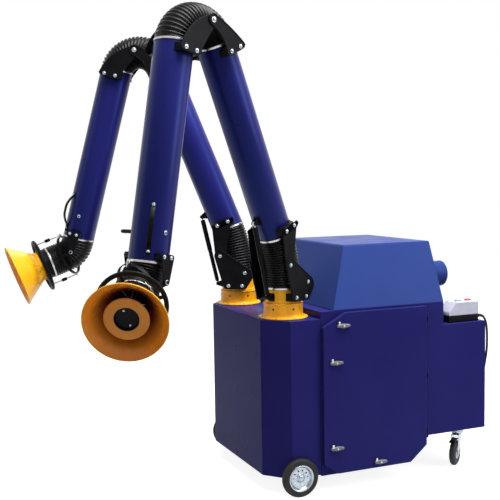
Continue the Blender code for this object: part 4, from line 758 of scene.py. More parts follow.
def arms(side):
    at = frames[side]
    bore, outer = arm["bore"], arm["tube"]
    for name, body, low, high in (("lower", "_lower", arm["end"], arm["end"] + arm["lower"]),
                                  ("upper", "_upper", at["low"], -arm["end"])):
        skin = lathe(oblong(bore, outer, low, high, 0.001, 3), 128)
        piece(side + "_" + name + "_suction_tube", skin, "tubePaint", side + body, at[name + "Tube"],
              side + "_" + name + "_tube")
    drum = rounded([(bore, gap), (0.114, gap), (0.114, 0.0050), (0.113, 0.0060), (0.0985, 0.0075),
                    (0.0935, 0.0120), (0.0915, 0.0200), (0.0905, 0.0620), (0.0920, 0.0645), (0.0920, 0.070),
                    (bore, 0.070)], 0.0025, 5)
    piece(side + "_flange_casting", lathe(drum, 128), "signalPaint", "machine", at["seat"],
          side + "_arm_flange")
    collar = rounded([(bore, 0.0703), (0.084, 0.0703), (0.084, 0.078), (0.080, 0.080), (0.080, 0.132),
                      (bore, 0.132)],
                     0.0015, 4)
    piece(side + "_swivel_collar", lathe(collar, 128), "signalPaint", side + "_base", at["seat"],
          side + "_turn_collar")
    places = [turn("Z", 45 * k + 22.5) @ shift(0.1060, 0, 0.0066) for k in range(8)]
    piece(side + "_flange_screws", repeated(domeBolt(0.0034), places), "brightZinc", "machine", at["seat"])
    places = [turn("Z", 60 * k + 10) @ shift(0.0909, 0, 0.045) @ turn("Y", 89) for k in range(6)]
    piece(side + "_drum_screws", repeated(domeBolt(0.0032, 0.002), places), "blackSteel", "machine",
          at["seat"])


# Hood, its ring handle and gimbal

hub = {"top": 0.108, "bottom": 0.150, "radius": 0.086, "ring": 0.130, "rod": 0.009, "drop": 0.143}
cone = {"neck": 0.073, "mouth": 0.159, "drop": 0.287, "sheet": 0.003, "baffle": 0.085, "baffleDrop": 0.258,
        "hole": 0.045}


def suctionHood(side):
    at, body = frames[side]["swing"], side + "_hood"
    neck, mouth, low = cone["neck"], cone["mouth"], -cone["drop"]
    throat, sheet = -hub["bottom"] - gap, cone["sheet"]
    outer = rounded([(neck + 0.004, throat), (neck + 0.004, throat - 0.022), (mouth - 0.008, low + 0.011),
                     (mouth - 0.001, low + 0.006), (mouth, low + 0.003), (mouth - 0.001, low),
                     (mouth - 0.0035, low), (mouth - 0.0045, low + 0.004), (mouth - 0.0105, low + 0.0115),
                     (neck + 0.0015, throat - 0.022), (neck + 0.0015, throat)], 0.004, 5)
    piece(side + "_hood_cone", lathe(outer, 160), "signalPaint", body, at, side + "_suction_hood")
    t = np.linspace(0, 1, 16)[:, None]
    wall = np.array((neck + 0.0012, throat - 0.0223)) * (1 - t) + np.array((mouth - 0.0050, low + 0.0040)) * t
    inner = np.concatenate([[(neck + 0.0012, throat)], wall, wall[::-1] - (0.0008, 0.0004),
                            [(neck + 0.0004, throat)]])
    # the lining darkens towards the throat: painted shade deep in the cone
    piece(side + "_hood_lining", lathe(inner, 160), "hoodInside", body, at, shadeFade=(-0.190, -0.262))
    plate, hole = -cone["baffleDrop"], cone["hole"]
    disc = rounded([(hole, plate - 0.001), (cone["baffle"] - 0.003, plate - 0.001),
                    (cone["baffle"], plate + 0.0015), (cone["baffle"] - 0.001, plate + 0.0025),
                    (hole, plate + 0.001)], 0.001, 4)
    # the baffle is in a darker copy of the orange paint, a painted shade
    piece(side + "_baffle_plate", lathe(disc, 128), "baffleShaded", body, at)
    cup = rounded([(0, plate + 0.010), (hole - 0.004, plate + 0.010), (hole - 0.001, plate - 0.0025),
                   (hole + 0.002, plate - 0.0025), (hole + 0.002, plate - 0.001), (hole, plate + 0.012),
                   (0, plate + 0.012)],
                  0.001, 4)
    piece(side + "_baffle_cap", lathe(cup, 96), "blackSteel", body, at)
    legs = [turn("Z", 120 * k + 30) @ shift(cone["baffle"] - 0.012, 0, 0) for k in range(3)]
    post = rod((0, 0, plate + 0.001), (0.012, 0, throat - 0.045), 0.0035)
    piece(side + "_baffle_posts", repeated(post, legs), "brightZinc", body, at)
    screws = [turn("Z", 180 * k - 3) @ shift(hole * 0.7, 0, plate + 0.010) @ turn("X", 180) for k in range(2)]
    piece(side + "_cap_screws", repeated(domeBolt(0.0028), screws), "brightZinc", body, at)
    grille = []
    for x in 0.014 * np.arange(-4, 5):
        half = np.sqrt(max(neck ** 2 - x ** 2, 0))
        grille.append(moved(shift(x, 0, throat - 0.004), rod((0, -half, 0), (0, half, 0), 0.0016, 8)))
    piece(side + "_throat_grille", together(*grille), "blackSteel", body, at)


def ringHandle(side):
    at, body = frames[side]["swing"], side + "_hood"
    ring, drop = hub["ring"], -hub["drop"]
    band = rounded([(hose["bore"], -hub["bottom"]), (hub["radius"] - 0.004, -hub["bottom"]),
                    (hub["radius"], -0.146), (hub["radius"], -0.132), (0.0815, -0.129), (0.0788, -0.126),
                    (0.0788, -hub["top"]), (hose["bore"], -hub["top"])], 0.0012, 4)
    rim = hub["rod"] * around(20) + (ring, drop)
    spoke = moved(shift(0, 0, drop),
                  slab(rounded([(0.083, -0.0075), (ring, -0.006), (ring, 0.006), (0.083, 0.0075)],
                               0.002), -0.0035, 0.0035, 0.001))
    spokes = repeated(spoke, [turn("Z", 90 * k) for k in range(4)])
    piece(side + "_handle_ring", together(lathe(band, 96), lathe(rim, 128), spokes), "blackSteel", body, at,
          side + "_ring_handle", 50)
    stays, knobs = [], []
    for sign in (1, -1):
        x = sign * 0.111
        stays += [rod((x, 0, -0.010), (x, 0, drop), 0.0032),
                  rod((x - 0.0032, 0, 0), (x + 0.0032, 0, 0), 0.0088)]
        ripple = np.linspace(0, 1, 40)
        grip = np.stack([0.0085 + 0.0007 * np.cos(ripple * 50), -0.058 - ripple * 0.026], -1)
        knobs.append(moved(shift(x, 0, 0), lathe(np.concatenate([[(0, -0.056)], grip, [(0, -0.086)]]), 24)))
    piece(side + "_stay_rods", together(*stays), "brightZinc", body, at)
    piece(side + "_stay_knobs", together(*knobs), "blackSteel", body, at)


def gimbal(side):
    at, body = frames[side]["tilt"], side + "_gimbal"
    reach, depth = arm["gimbalReach"], 0.016
    cosine, sine = around(120).T
    section = oblong(0, 0.0035, -depth / 2, depth / 2, 0.0008, 4)
    wide, long = 0.1012 + section[:, 0, None], 0.1025 + section[:, 0, None]
    hoop = np.stack([long * cosine, wide * sine, -reach + section[:, 1, None] + 0 * cosine], -1)
    ear = hull([(0, 0, 0.014), (0, -reach, 0.0075)])
    plates = [moved(upright, slab(ear, low, low + 0.004)) for low in (0.1005, -0.1045)]
    pins = [rod((0, sign * 0.1025, 0), (0, sign * 0.117, 0), 0.006) for sign in (1, -1)]
    piece(side + "_gimbal_hoop", together(grid(hoop, ring=True), *plates, *pins), "blackSteel", body, at,
          side + "_hood_gimbal")
    lugs = [rod((sign * 0.104, 0, -reach), (sign * 0.1188, 0, -reach), 0.0048) for sign in (1, -1)]
    piece(side + "_gimbal_lugs", together(*lugs), "brightZinc", body, at)
    bolts(side + "_gimbal_bolts", body, at, faceBolts([(0, 0)], yoke["hoodBoltSeat"]), 0.0062)


# Yokes: side plates on curved saddles

plateBows = {"arm": (-0.03, 0.12), "fore": (0.03, -0.11)}
yoke = {"inner": 0.1005, "outer": 0.105, "sheet": 0.004, "middle": 0.146, "spread": 0.029, "foot": 0.046,
        "pad": 0.1052, "boltSeat": 0.1093, "hoodBoltSeat": 0.1092}


def sidePlates(outline, near, rim=True):
    # the same plate on both sides of the arm; the outer face carries a raised rim
    outline = distinct(outline)
    face = near + yoke["sheet"]
    parts = [slab(outline, near, face, 0.001)]
    if rim:
        root = near + yoke["sheet"] / 2
        profile = [(0.0008, root), (0.0008, face + 0.002), (0.0014, face + 0.0026), (0.0036, face + 0.0026),
                   (0.0042, face + 0.002), (0.0042, root)]
        parts.append(drawn(outline, profile, False, True))
    points, faces = together(*parts)
    return together(moved(upright, (points * (1, 1, -1), faces)), moved(upright, (points, faces)))


def saddles(low, high, out, spread=42):
    # two curved pads on the tube that carry the plates: an arc of the tube inside,
    # flat against the plate outside
    start = arm["tube"] + gap
    angle = np.radians(np.linspace(90 - spread, 90 + spread, 24))
    inner = np.stack([start * np.cos(angle), start * np.sin(angle)], -1)
    half = 0.034
    outer = np.array([(-half, out), (half, out)])
    pad = slab(rounded(np.concatenate([inner, outer]), 0.0015, 3), low, high, 0.0015)
    return together(pad, moved(turn("Z", 180), pad))


def jointPlate(x, z, bows, corner=0.026, foot=0.014):
    # a plate from the pivot at the origin down to its foot on the tube: an arc round the pivot,
    # a parabola bowed by a share of its length down each side (inwards where the share is negative),
    # and a rounded foot
    down = np.array((x, z)) / np.hypot(x, z)
    across = np.array((-down[1], down[0]))
    angle = np.linspace(np.pi / 2, 3 * np.pi / 2, 24)[:, None]
    head = corner * (np.cos(angle) * down + np.sin(angle) * across)
    sign = np.sign(across[0])
    right, left = (np.array((x + k * (yoke["foot"] + foot * 0.7), z + foot * 0.7)) for k in (sign, -sign))
    t = np.linspace(0, 1, 16)[1:, None]
    sides = []
    for start, end, bow in ((head[-1], left, bows[0]), (right, head[0], bows[1])):
        along = end - start
        out = np.array((along[1], -along[0])) * -sign
        sides.append(start + along * t + out * bow * 4 * t * (1 - t))
    base = [(x - sign * (yoke["foot"] + foot), z - foot * 0.2), (x - sign * yoke["foot"], z - foot),
            (x + sign * yoke["foot"], z - foot), (x + sign * (yoke["foot"] + foot), z - foot * 0.2)]
    return distinct(np.concatenate([head, sides[0], rounded(base, 0.008, 4, closed=False), right[None],
                                    sides[1][:-1]]))


def shoulderYokes(side):
    at, pivot, rise = frames[side], arm["pivot"], arm["rise"]
    seat, body = at["seat"], side + "_base"
    outline = hull([(pivot, rise, 0.030), (-0.045, 0.150, 0.045), (-0.045, 0.098, 0.016),
                    (0.045, 0.098, 0.016)], 40)
    shell = together(sidePlates(outline, yoke["outer"]), saddles(0.083, 0.117, yoke["pad"]))
    piece(side + "_shoulder_bracket", shell, "blackSteel", body, seat, side + "_shoulder_base_yoke", 50)
    spots = [(-0.036, 0.100), (0.034, 0.100), (pivot, rise), (-0.050, 0.165)]
    bolts(side + "_shoulder_bracket_bolts", body, seat, faceBolts(spots, yoke["boltSeat"]), 0.0065)
    z = yoke["middle"]
    elbow = at["shoulder"] @ shift(0, 0, 2 * arm["end"] + arm["lower"])
    for name, frameHere, offset, height, ownBody, near, node, bows in (
            ("shoulder_arm_plate", at["shoulder"], -pivot, z, "_lower", yoke["inner"],
             "_shoulder_tube_yoke", (0, 0)),
            ("elbow_arm_plate", elbow, -pivot, -z, "_lower", yoke["outer"], "_elbow_lower_yoke",
             plateBows["arm"]),
            ("elbow_fore_plate", at["elbow"], arm["elbow"], -z, "_upper", yoke["inner"], "_elbow_upper_yoke",
             plateBows["fore"])):
        outline = jointPlate(offset, height, bows)
        pads = moved(shift(offset, 0, height), saddles(-0.016, 0.016, near + 0.0002))
        piece(side + "_" + name, together(sidePlates(outline, near, near > 0.103), pads), "blackSteel",
              side + ownBody, frameHere, side + node, 50)
        spots = [(offset - yoke["spread"], height), (offset + yoke["spread"], height)]
        bolts(side + "_" + name + "_bolts", side + ownBody, frameHere, faceBolts(spots, near + 0.0042),
              0.0065)
    bolts(side + "_elbow_pivot_bolts", side + "_lower", elbow, faceBolts([(0, 0)], yoke["boltSeat"]), 0.0085)


def hoodYoke(side):
    at, body, low = frames[side]["elbow"], side + "_upper", frames[side]["low"]
    offset = arm["elbow"]
    middle = low + 0.019
    pivotSpot = (offset - arm["gimbalBack"], low - arm["gimbalDrop"])
    outline = hull([(*pivotSpot, 0.014), (offset - 0.022, middle, 0.012), (offset + 0.022, middle, 0.012)],
                   40)
    pads = moved(shift(offset, 0, middle), saddles(-0.011, 0.011, yoke["pad"], 28))
    piece(side + "_hood_bracket", together(sidePlates(outline, yoke["outer"], False), pads), "blackSteel",
          body, at, side + "_hood_yoke", 50)
    handleSide = shift(offset, 0, low) @ turn("Z", 45)
    piece(side + "_bow_handle", moved(handleSide, bowHandle()), "blackSteel", body, at)
    ends = [handleSide @ shift(arm["tube"] + 0.0055, 0, z) @ turn("Y", 90) for z in (0.033, 0.215)]
    piece(side + "_bow_handle_bolts", repeated(domeBolt(0.0048), ends), "brightZinc", body, at)
    spots = [(offset - 0.018, middle), (offset + 0.018, middle)]
    bolts(side + "_hood_bracket_bolts", body, at, faceBolts(spots, yoke["hoodBoltSeat"]), 0.0055)


def bowHandle():
    # a round-edged strap that springs off the tube and back, on two feet
    inner = arm["tube"] + gap
    line = ((0.0025, 0.020), (0.0025, 0.048), (0.017, 0.072), (0.029, 0.100), (0.031, 0.129), (0.029, 0.158),
            (0.017, 0.186), (0.0025, 0.208), (0.0025, 0.222))
    path = curved([(inner + out, 0, z) for out, z in line], 10)
    side, top = acrossOf(path, (0, 1, 0))
    section = oblong(-0.003, 0.003, -0.009, 0.009, 0.002, 4)
    rows = path[:, None] + section[None, :, :1] * side[:, None] + section[None, :, 1:] * top[:, None]
    feet = [rod((inner + 0.004, 0, z), (inner + 0.0085, 0, z), 0.0045, 16) for z in (0.030, 0.216)]
    return together(grid(rows, capped=True), *feet)


# Gas strut and damper: the strut's ends from its foot on the collar and from the shoulder's pivot

strutEnds = {"foot": (arm["tube"] + 0.026, 0, 0.100), "head": (arm["tube"] - arm["pivot"] + 0.024, 0, 0.220)}


def strutLine(side):
    foot = np.array(strutEnds["foot"])
    head = way(turn("Y", arm["lean"][side]), strutEnds["head"])
    line = np.array((arm["pivot"], 0, arm["rise"])) + head - foot
    return foot, np.linalg.norm(line), np.degrees(np.arctan2(line[0], line[2]))


def strut(side):
    at = frames[side]
    foot, length, angle = strutLine(side)
    place = at["seat"] @ shift(*foot) @ turn("Y", angle)
    mouth = length * 0.6
    barrel = rounded([(0, 0.010), (0.005, 0.010), (0.010, 0.018), (0.010, mouth - 0.004), (0.007, mouth),
                      (0.0043, mouth), (0.0043, 0.020), (0, 0.020)], 0.002, 4)
    eye = moved(turn("X", 90), lathe(oblong(0.0043, 0.009, -0.006, 0.006, 0.001, 3), 40))
    piece(side + "_gas_strut", together(lathe(barrel, 40), eye), "blackSteel", side + "_strut", place,
          side + "_strut_cylinder")
    sleeve = [(0.0104, length * 0.5), (0.0118, length * 0.5), (0.0118, length - 0.022),
              (0.0095, length - 0.016), (0.0041, length - 0.016), (0.0041, length - 0.018),
              (0.0104, length - 0.024)]
    piece(side + "_strut_sleeve", lathe(sleeve, 40), "blackSteel", side + "_strut_end", place)
    shaft = rod((0, 0, length * 0.33), (0, 0, length - 0.008), 0.0039, 24, 0.0005)
    ring = lathe(oblong(0.0060, 0.0092, -0.0055, 0.0055, 0.001, 3), 40)
    ring = moved(shift(0, 0, length) @ turn("X", 90), ring)
    piece(side + "_strut_shaft", together(shaft, ring), "brightZinc", side + "_strut_end", place,
          side + "_strut_rod")
    for name, body, frameHere, start, end in (
            ("strut_foot_bracket", "_base", at["seat"], arm["tube"], "foot"),
            ("strut_head_bracket", "_lower", at["shoulder"], arm["tube"] - arm["pivot"], "head")):
        x, _across, z = strutEnds[end]
        outline = hull([(start + 0.004, z - 0.012, 0.004), (start + 0.004, z + 0.012, 0.004),
                        (x, z, 0.009)], 32)
        ears = [moved(upright, slab(outline, low, low + 0.004)) for low in (0.0066, -0.0106)]
        base = block((start + 0.0003, -0.018, z - 0.018), (start + 0.0035, 0.018, z + 0.018), 0.0015)
        pin = rod((x, -0.0125, z), (x, 0.0125, z), 0.0028)
        piece(side + "_" + name, together(*ears, base, pin), "blackSteel", side + body, frameHere)


def damper(side):
    at, body = frames[side], side + "_damper"
    place = at["upperTube"] @ shift(0, 0, at["low"] + 0.113)
    disc = moved(turn("Y", 90), lathe(oblong(0, 0.074, -0.001, 0.001, 0.0006, 3), 64))
    axle = rod((0, -0.152, 0), (0, 0.087, 0), 0.0043)
    piece(side + "_damper_disc", together(disc, axle), "blackSteel", body, place, side + "_damper_valve")
    grip = moved(turn("X", 90), lathe(rounded([(0, 0.086), (0.0055, 0.086), (0.0078, 0.098), (0.0082, 0.164),
                                               (0.0068, 0.178), (0, 0.178)], 0.003, 5), 28))
    piece(side + "_damper_grip", grip, "blackSteel", body, place)
    bolts(side + "_damper_nut", body, place, [(0, 0.0803, 0, -90, 0)], 0.0062)


for side in ("near", "far"):
    shoulderAndElbowHoses(side)
    hoodHose(side)
    arms(side)
    suctionHood(side)
    ringHandle(side)
    gimbal(side)
    shoulderYokes(side)
    hoodYoke(side)
    strut(side)
    damper(side)
    print(side, "arm ready")


# The body: column, cabinet shell, door, hood over the fan

box = {"width": 0.833, "sheet": 0.002, "corner": 0.004, "columnLow": 0.078, "columnHigh": 0.797,
       "columnPlan": ((0, 0.114), (0.096, 0), (0.2447, 0), (0.2447, 0.833), (0.096, 0.833), (0, 0.719)),
       "side": ((0.245, 0.071), (0.725, 0.071), (0.806, 0.152), (0.806, 0.188), (1.1586, 0.188),
                (1.1586, 0.7207), (0.9115, 0.7207), (0.9115, 0.830), (0.245, 0.830)),
       "duct": ((0.06, 0.138), (0.773, 0.340)), "rail": 0.025, "railHigh": 0.400, "fan": (0.67375, 0.4165),
       "inlet": 0.130, "castors": {"near": 0.075, "far": 0.758}, "castorAlong": 1.045}


def inset(outline, depth):
    outline = np.asarray(outline, float)
    return outline + depth * inwardOf(outline)


def prism(outline, low, high):
    # an outline between two heights, with sharp rims
    return drawn(outline, [(0, low), (0, high)])


def column():
    low, high, sheet = box["columnLow"], box["columnHigh"], box["sheet"]
    plan = np.array(box["columnPlan"])
    made = piece("column_housing", slab(rounded(plan, box["corner"]), low, high, 0.0026), "bodyPaint",
                 "machine", machine, "front_column")
    inner = inset(plan, sheet)
    inner[2:4, 0] += 0.02
    bore = rod((arm["along"], 0, high - 0.02), (arm["along"], 0, high + 0.02), arm["bore"], 64, 0)
    bores = [moved(machine @ shift(0, across, 0), bore) for across in arm["across"].values()]
    pierced(made, moved(machine, prism(inner, low + sheet, high - sheet)), *bores)
    seam = block((0.0965, -0.0008, low + 0.004), (0.1005, 0.0002, high - 0.004), 0.0006)
    piece("column_seam", seam, "bodyPaint", "machine", machine)


def cabinet():
    width, sheet = box["width"], box["sheet"]
    side = np.array(box["side"])
    shell = slab(rounded(side, box["corner"]), -width, 0, 0.0026)
    made = piece("cabinet_housing", moved(upright, shell), "bodyPaint", "machine", machine, "cabinet_shell")
    cavity = moved(machine @ upright, prism(inset(side, sheet), sheet - width, -sheet))
    opening = moved(machine @ upright, prism(inset(door["outline"], door["lip"]), -0.02, 0.02))
    (y, z), (farY, highZ) = box["duct"]
    duct = moved(machine, prism([(0.225, y), (0.265, y), (0.265, farY), (0.225, farY)], z, highZ))
    along, across = box["fan"]
    inlet = moved(machine, rod((along, across, 0.80), (along, across, 0.86), box["inlet"], 96, 0))
    pierced(made, cavity, opening, duct, inlet)
    high, reach = box["railHigh"], box["rail"]
    rails = [block((x, 0.0022, high - 0.003), (x + reach, width - 0.0022, high), 0.001)
             for x in (0.2475, 0.7785)]
    lips = [block((x, 0.0022, high - 0.018), (x + 0.002, width - 0.0022, high - 0.0025), 0.0008)
            for x in (0.2705, 0.7785)]
    piece("filter_rails", together(*rails, *lips), "bodyPaint", "machine", machine)


door = {"outline": ((0.249, 0.128), (0.322, 0.078), (0.713, 0.078), (0.803, 0.152), (0.803, 0.822),
                    (0.365, 0.822), (0.249, 0.760)),
        "thick": 0.022, "lip": 0.035, "hinge": (0.810, -0.0113), "hingeHeights": (0.214, 0.483, 0.755),
        "barrel": 0.007, "knuckle": 0.0190,
        "latches": {"top": (0.351, 0.762), "middle": (0.314, 0.594), "low": (0.315, 0.198),
                    "foot": (0.544, 0.105)}}


def cabinetDoor():
    outline, thick = np.array(door["outline"]), door["thick"]
    made = piece("door_panel", moved(upright, slab(rounded(outline, 0.006), gap, gap + thick, 0.0035)),
                 "bodyPaint", "door", machine, "cabinet_door")
    pan = prism(inset(outline, door["lip"] / 2), -0.02, gap + thick - box["sheet"])
    pierced(made, moved(machine @ upright, pan))
    ribs = [block((x, -0.0200, 0.16), (x + 0.004, -0.0080, 0.74), 0.001) for x in (0.40, 0.65)]
    piece("door_ribs", together(*ribs), "bodyPaint", "door", machine)
    x, y = door["hinge"]
    dark, painted = [], []
    for z in door["hingeHeights"]:
        for k in (-1, 0, 1):
            middle, half = z + k * 0.0205, 0.5 * door["knuckle"]
            knuckle = rod((x, y, middle - half), (x, y, middle + half), door["barrel"], 24)
            (painted if k else dark).append(knuckle)
        dark.append(rod((x, y, z - 0.032), (x, y, z + 0.032), 0.003, 12))
        painted.append(block((0.799, y - 0.002, z - 0.030), (x, y + 0.002, z + 0.030), 0.001))
    # the centre knuckles and pins are black steel, which also stands in as a painted shadow along the hinge
    piece("door_hinge_pins", together(*dark), "blackSteel", "door", machine)
    piece("door_hinge_leaves", together(*painted), "bodyPaint", "door", machine)


def latch(name):
    # a wing with a domed face on a square-headed shaft
    x, z = door["latches"][name]
    place = machine @ shift(x, -gap - door["thick"], z) @ upright
    wing = hull([(-0.0267, 0, 0.0073), (0, 0, 0.011), (0.0267, 0, 0.0073)], 40)
    dome = [(0.0006, gap), (0, 0.001), (0, 0.0050), (0.0006, 0.0075), (0.0018, 0.0095), (0.0035, 0.0110),
            (0.0055, 0.0118)]
    piece("latch_wing_" + name, drawn(wing, dome), "greyMoulding", "latch_" + name, place,
          "door_latch_" + name, 50)
    stud = [slab(oblong(-0.0280, -0.0180, 0.004, 0.020, 0.0025), 0.0006, 0.0095, 0.0018),
            rod((0, 0, -0.010), (0, 0, 0.0122), 0.0040, 20, 0.0008)]
    piece("latch_stud_" + name, together(*stud), "clampSteel", "latch_" + name, place)


fanHood = {"foot": 0.310, "rear": 0.9115, "front": 0.436, "side": 0.122, "low": 0.8303, "high": 1.117,
           "edge": 0.004, "pipe": 0.0625, "pipeAcross": 0.190, "pipeRise": 0.946, "pipeLength": 0.115}


def sloped(inner):
    # the hood's four slopes between two rounded rectangles: each point runs straight from the foot to the top
    wide, foot, rear = box["width"], fanHood["foot"], fanHood["rear"]
    front, side, edge = fanHood["front"], fanHood["side"], fanHood["edge"]
    low = np.array([(foot, 0), (rear, 0), (rear, wide), (foot, wide)])
    high = np.array([(front, side), (rear, side), (rear, wide - side), (front, wide - side)])
    base, top = fanHood["low"], fanHood["high"]
    if inner:
        low, high, base, top = inset(low, inner), inset(high, inner), base - 0.01, top - inner
    low, high = rounded(low, edge), rounded(high, edge)
    steps = [(0, 0, 0), (0, 0, 0.012), (0.97, 0, 0.97), (0.992, 0.0008, 0.992), (1, 0.003, 1)]
    if inner:
        steps = [(0, 0, 0), (1, 0, 1)]
    rows = [np.concatenate([(low * (1 - t) + high * t) + d * inwardOf(high),
                            np.full((len(low), 1), base + (top - base) * h)], 1) for t, d, h in steps]
    return grid(np.array(rows), capped=True)


def hoodOverFan():
    sheet, radius = box["sheet"], fanHood["pipe"]
    place = machine @ shift(fanHood["rear"], fanHood["pipeAcross"], fanHood["pipeRise"]) @ turn("Y", 90)
    # the hood is drawn in the lighter copy of the body's blue, a painted light
    made = piece("fan_housing", sloped(0), "hoodPaint", "machine", machine, "fan_hood")
    mouth = rod((0, 0, -0.02), (0, 0, 0.02), radius - sheet, 64, 0)
    pierced(made, moved(machine, sloped(sheet)), moved(place, mouth))
    reach = fanHood["pipeLength"]
    skin = rounded([(radius - sheet, -sheet), (radius + 0.010, -sheet), (radius + 0.010, 0.002),
                    (radius, 0.003), (radius, reach - 0.012), (radius + 0.0012, reach - 0.010),
                    (radius + 0.0012, reach - 0.006), (radius, reach - 0.004), (radius, reach),
                    (radius - sheet, reach)], 0.001, 4)
    # the pipe shares the hood's lighter copy of the blue, a painted light
    piece("outlet_pipe", lathe(skin, 96), "hoodPaint", "machine", place)


column()
cabinet()
cabinetDoor()
for name in door["latches"]:
    latch(name)
hoodOverFan()
print("body ready")


# Switch on the rear platform

switch = {"front": 0.955, "rear": 1.130, "near": 0.018, "far": 0.103, "low": 0.721, "split": 0.7537,
          "high": 0.8187, "slope": 0.040, "nose": 0.772, "buttons": {"start": 1.0382, "stop": 1.0963},
          "gland": (1.130, 0.0605, 0.73885)}


def motorSwitch():
    front, rear, near, far = switch["front"], switch["rear"], switch["near"], switch["far"]
    split, high = switch["split"], switch["high"]
    piece("switch_foot", block((front, near, switch["low"]), (rear, far, split), 0.003), "blackSteel",
          "machine", machine, "switch_base")
    outline = [(front + 0.001, split + gap), (rear, split + gap), (rear, high),
               (front + switch["slope"], high), (front + 0.002, switch["nose"])]
    lid = moved(upright, slab(rounded(outline, 0.005), -far, -near, 0.0034))
    across = (near + far) / 2
    made = piece("switch_lid", lid, "paleMoulding", "machine", machine, "switch_cover")
    holes = [moved(machine, rod((x, across, high - 0.016), (x, across, high + 0.01), 0.0125, 32, 0))
             for x in switch["buttons"].values()]
    pierced(made, *holes)
    collar = lathe(rounded([(0.0165, -0.001), (0.0195, -0.001), (0.0195, 0.0012), (0.0185, 0.0018),
                            (0.0165, 0.0018)],
                           0.0006, 3), 48)
    piece("switch_collars", repeated(collar, [shift(x, across, high) for x in switch["buttons"].values()]),
          "paleMoulding", "machine", machine)
    screws = [shift(front + 0.046 + k * (rear - front - 0.054), y, high) for k in (0, 1)
              for y in (near + 0.009, far - 0.009)]
    piece("switch_screws", repeated(domeBolt(0.0024, 0.0015), screws), "brightZinc", "machine", machine)
    for name, look in (("start", "greenMoulding"), ("stop", "redMoulding")):
        cap = rounded([(0, -0.009), (0.0112, -0.009), (0.0112, 0.0034), (0.0160, 0.0034), (0.0160, 0.0058),
                       (0.0135, 0.0070), (0.0060, 0.0064), (0, 0.0062)], 0.0015, 4)
        piece(name + "_cap", lathe(cap, 48), look, name + "_button",
              machine @ shift(switch["buttons"][name], across, high), name + "_button")
    place = machine @ shift(*switch["gland"]) @ turn("Y", 90)
    nut = slab(0.0122 * around(6), 0.0, 0.009, 0.001)
    dome = rounded([(0, 0.008), (0.0105, 0.008), (0.0105, 0.013), (0.0085, 0.020), (0.0060, 0.022),
                    (0, 0.022)], 0.002, 4)
    piece("cable_gland", together(nut, lathe(dome, 40)), "paleMoulding", "machine", place)


motorSwitch()
print("switch ready")


# Wheels: front wheels on the column's axles, braked castors under the rear box

wheel = {"radius": 0.0875, "along": 0.127, "across": {"near": -0.019, "far": 0.852}, "holes": 10,
         "holeRing": 0.0345}
castor = {"radius": 0.0625, "trail": 0.034, "turn": {"near": 38.0, "far": 20.0}, "top": 0.1877, "leg": 0.0162,
          "sheet": 0.003}


def mirrored(profile):
    # the profile's own points, then the same ones in turn on the other side of height 0
    profile = np.asarray(profile, float)
    return np.concatenate([profile, profile[::-1] * (1, -1)])


def frontWheel(side):
    name = "front_wheel_" + side
    outward = turn("X", 90 if side == "near" else -90)
    place = machine @ shift(wheel["along"], wheel["across"][side], wheel["radius"]) @ outward
    tyre = mirrored([(0.0582, 0.0125), (0.0600, 0.0150), (0.0640, 0.0160), (0.0700, 0.0157),
                     (0.0705, 0.0148), (0.0725, 0.0148), (0.0730, 0.0156), (0.0790, 0.0150),
                     (0.0835, 0.0125), (0.0866, 0.0092), (0.0874, 0.0060), (0.0875, 0.0046),
                     (0.0862, 0.0042), (0.0862, 0.0028), (0.0875, 0.0024)])
    piece(name + "_tyre", lathe(rounded(tyre, 0.0016, 4), 128), "tyreRubber", name, place, name)
    disc = rounded([(0, 0.0095), (0.0155, 0.0095), (0.0205, 0.0030), (0.0465, 0.0030), (0.0525, 0.0135),
                    (0.0560, 0.0160), (0.0586, 0.0172), (0.0604, 0.0160), (0.0592, 0.0150),
                    (0.0580, 0.0120), (0.0580, -0.0150), (0.0560, -0.0150), (0.0555, 0.0120),
                    (0.0515, 0.0100), (0.0475, 0.0010), (0.0200, 0.0010), (0.0160, 0.0070), (0, 0.0070)],
                   0.0012, 3)
    made = piece(name + "_rim", lathe(disc, 128), "brightZinc", name, place)
    ring = [turn("Z", 360 * k / wheel["holes"]) @ shift(wheel["holeRing"], 0, 0)
            for k in range(wheel["holes"])]
    pierced(made, moved(place, repeated(rod((0, 0, -0.006), (0, 0, 0.008), 0.0040, 16, 0), ring)))
    cap = rounded([(0, 0.0094), (0.0130, 0.0094), (0.0130, 0.0125), (0.0105, 0.0150), (0.0060, 0.0164),
                   (0, 0.0168)],
                  0.0015, 4)
    hub = oblong(0.0105, 0.0150, -0.0155, 0.0012, 0.001, 3)
    piece(name + "_cap", together(lathe(cap, 40), lathe(hub, 40)), "brightZinc", name, place)
    piece(name + "_axle", rod((0, 0, -0.0200), (0, 0, 0.0065), 0.0098, 28, 0.001), "blackSteel", "machine",
          place)


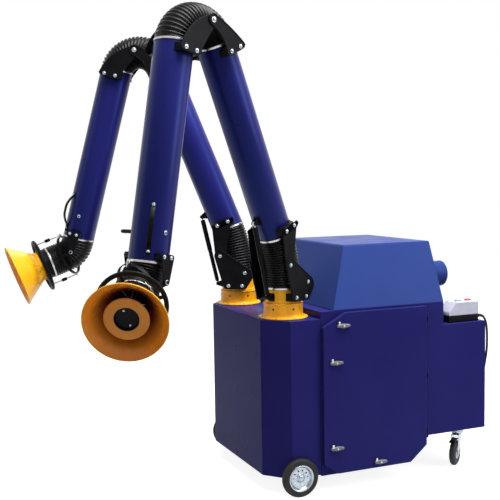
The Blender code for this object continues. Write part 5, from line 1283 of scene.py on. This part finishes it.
def castorPieces(side):
    swivel = machine @ shift(box["castorAlong"], box["castors"][side], 0) @ turn("Z", castor["turn"][side])
    top, leg, sheet, trail, radius = (castor[key] for key in ("top", "leg", "sheet", "trail", "radius"))
    cheek = hull([(-trail, radius, 0.0128), (-0.027, 0.146, 0.006), (0.020, 0.146, 0.006)], 40)
    cheeks = [moved(upright, slab(cheek, low, low + sheet, 0.0008)) for low in (leg, -leg - sheet)]
    crown = slab(oblong(-0.033, 0.026, -leg - sheet, leg + sheet, 0.003), 0.148, 0.1525, 0.0015)
    race = lathe(rounded([(0, 0.152), (0.024, 0.152), (0.030, 0.158), (0.033, 0.166), (0.0315, 0.171),
                          (0.0335, 0.173), (0.0335, 0.180), (0.031, top), (0, top)], 0.0015, 4), 64)
    axle = [rod((-trail, -leg - sheet - 0.004, radius), (-trail, leg + sheet + 0.004, radius), 0.0074, 24),
            rod((0, 0, top - 0.004), (0, 0, 0.196), 0.0078, 24)]
    name = "castor_" + side
    piece(name + "_fork", together(*cheeks, crown, race, *axle), "brightZinc", name, swivel,
          "castor_fork_" + side, 50)
    tip = -trail - radius * 0.9
    pedal = slab(rounded([(-0.024, 0.1315), (-0.024, 0.1360), (tip + 0.014, 0.1305), (tip, 0.1275),
                          (tip, 0.1240), (tip + 0.014, 0.1265)], 0.0015, 4), -0.0145, 0.0145, 0.001)
    piece(name + "_pedal", moved(upright, pedal), "blackSteel", name, swivel)
    place = swivel @ shift(-trail, 0, radius) @ turn("X", 90)
    tyre = mirrored([(0.0285, 0.0130), (0.0330, 0.0148), (0.0480, 0.0148), (0.0570, 0.0125), (0.0615, 0.0075),
                     (0.0625, 0.0025)])
    rolling = "castor_wheel_" + side
    piece(rolling + "_tyre", lathe(rounded(tyre, 0.003, 4), 96), "tyreRubber", rolling, place, rolling)
    hub = mirrored([(0.0083, 0.0150), (0.0125, 0.0150), (0.0150, 0.0115), (0.0245, 0.0110), (0.0275, 0.0140),
                    (0.0295, 0.0145), (0.0295, 0.0120)])
    piece(rolling + "_hub", lathe(rounded(hub, 0.0012, 3), 72), "brightZinc", rolling, place)


for side in ("near", "far"):
    frontWheel(side)
    castorPieces(side)
print("wheels ready")


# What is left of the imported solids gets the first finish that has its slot

slots = {look["slot"]: name for name, look in reversed(looks.items())}
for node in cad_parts.values():
    if not node.hide_render:
        old = node.data.materials[0].name.split(".")[0] if node.data.materials else "black_steel"
        node.data.materials.clear()
        node.data.materials.append(finish(slots.get(old, "blackSteel")))
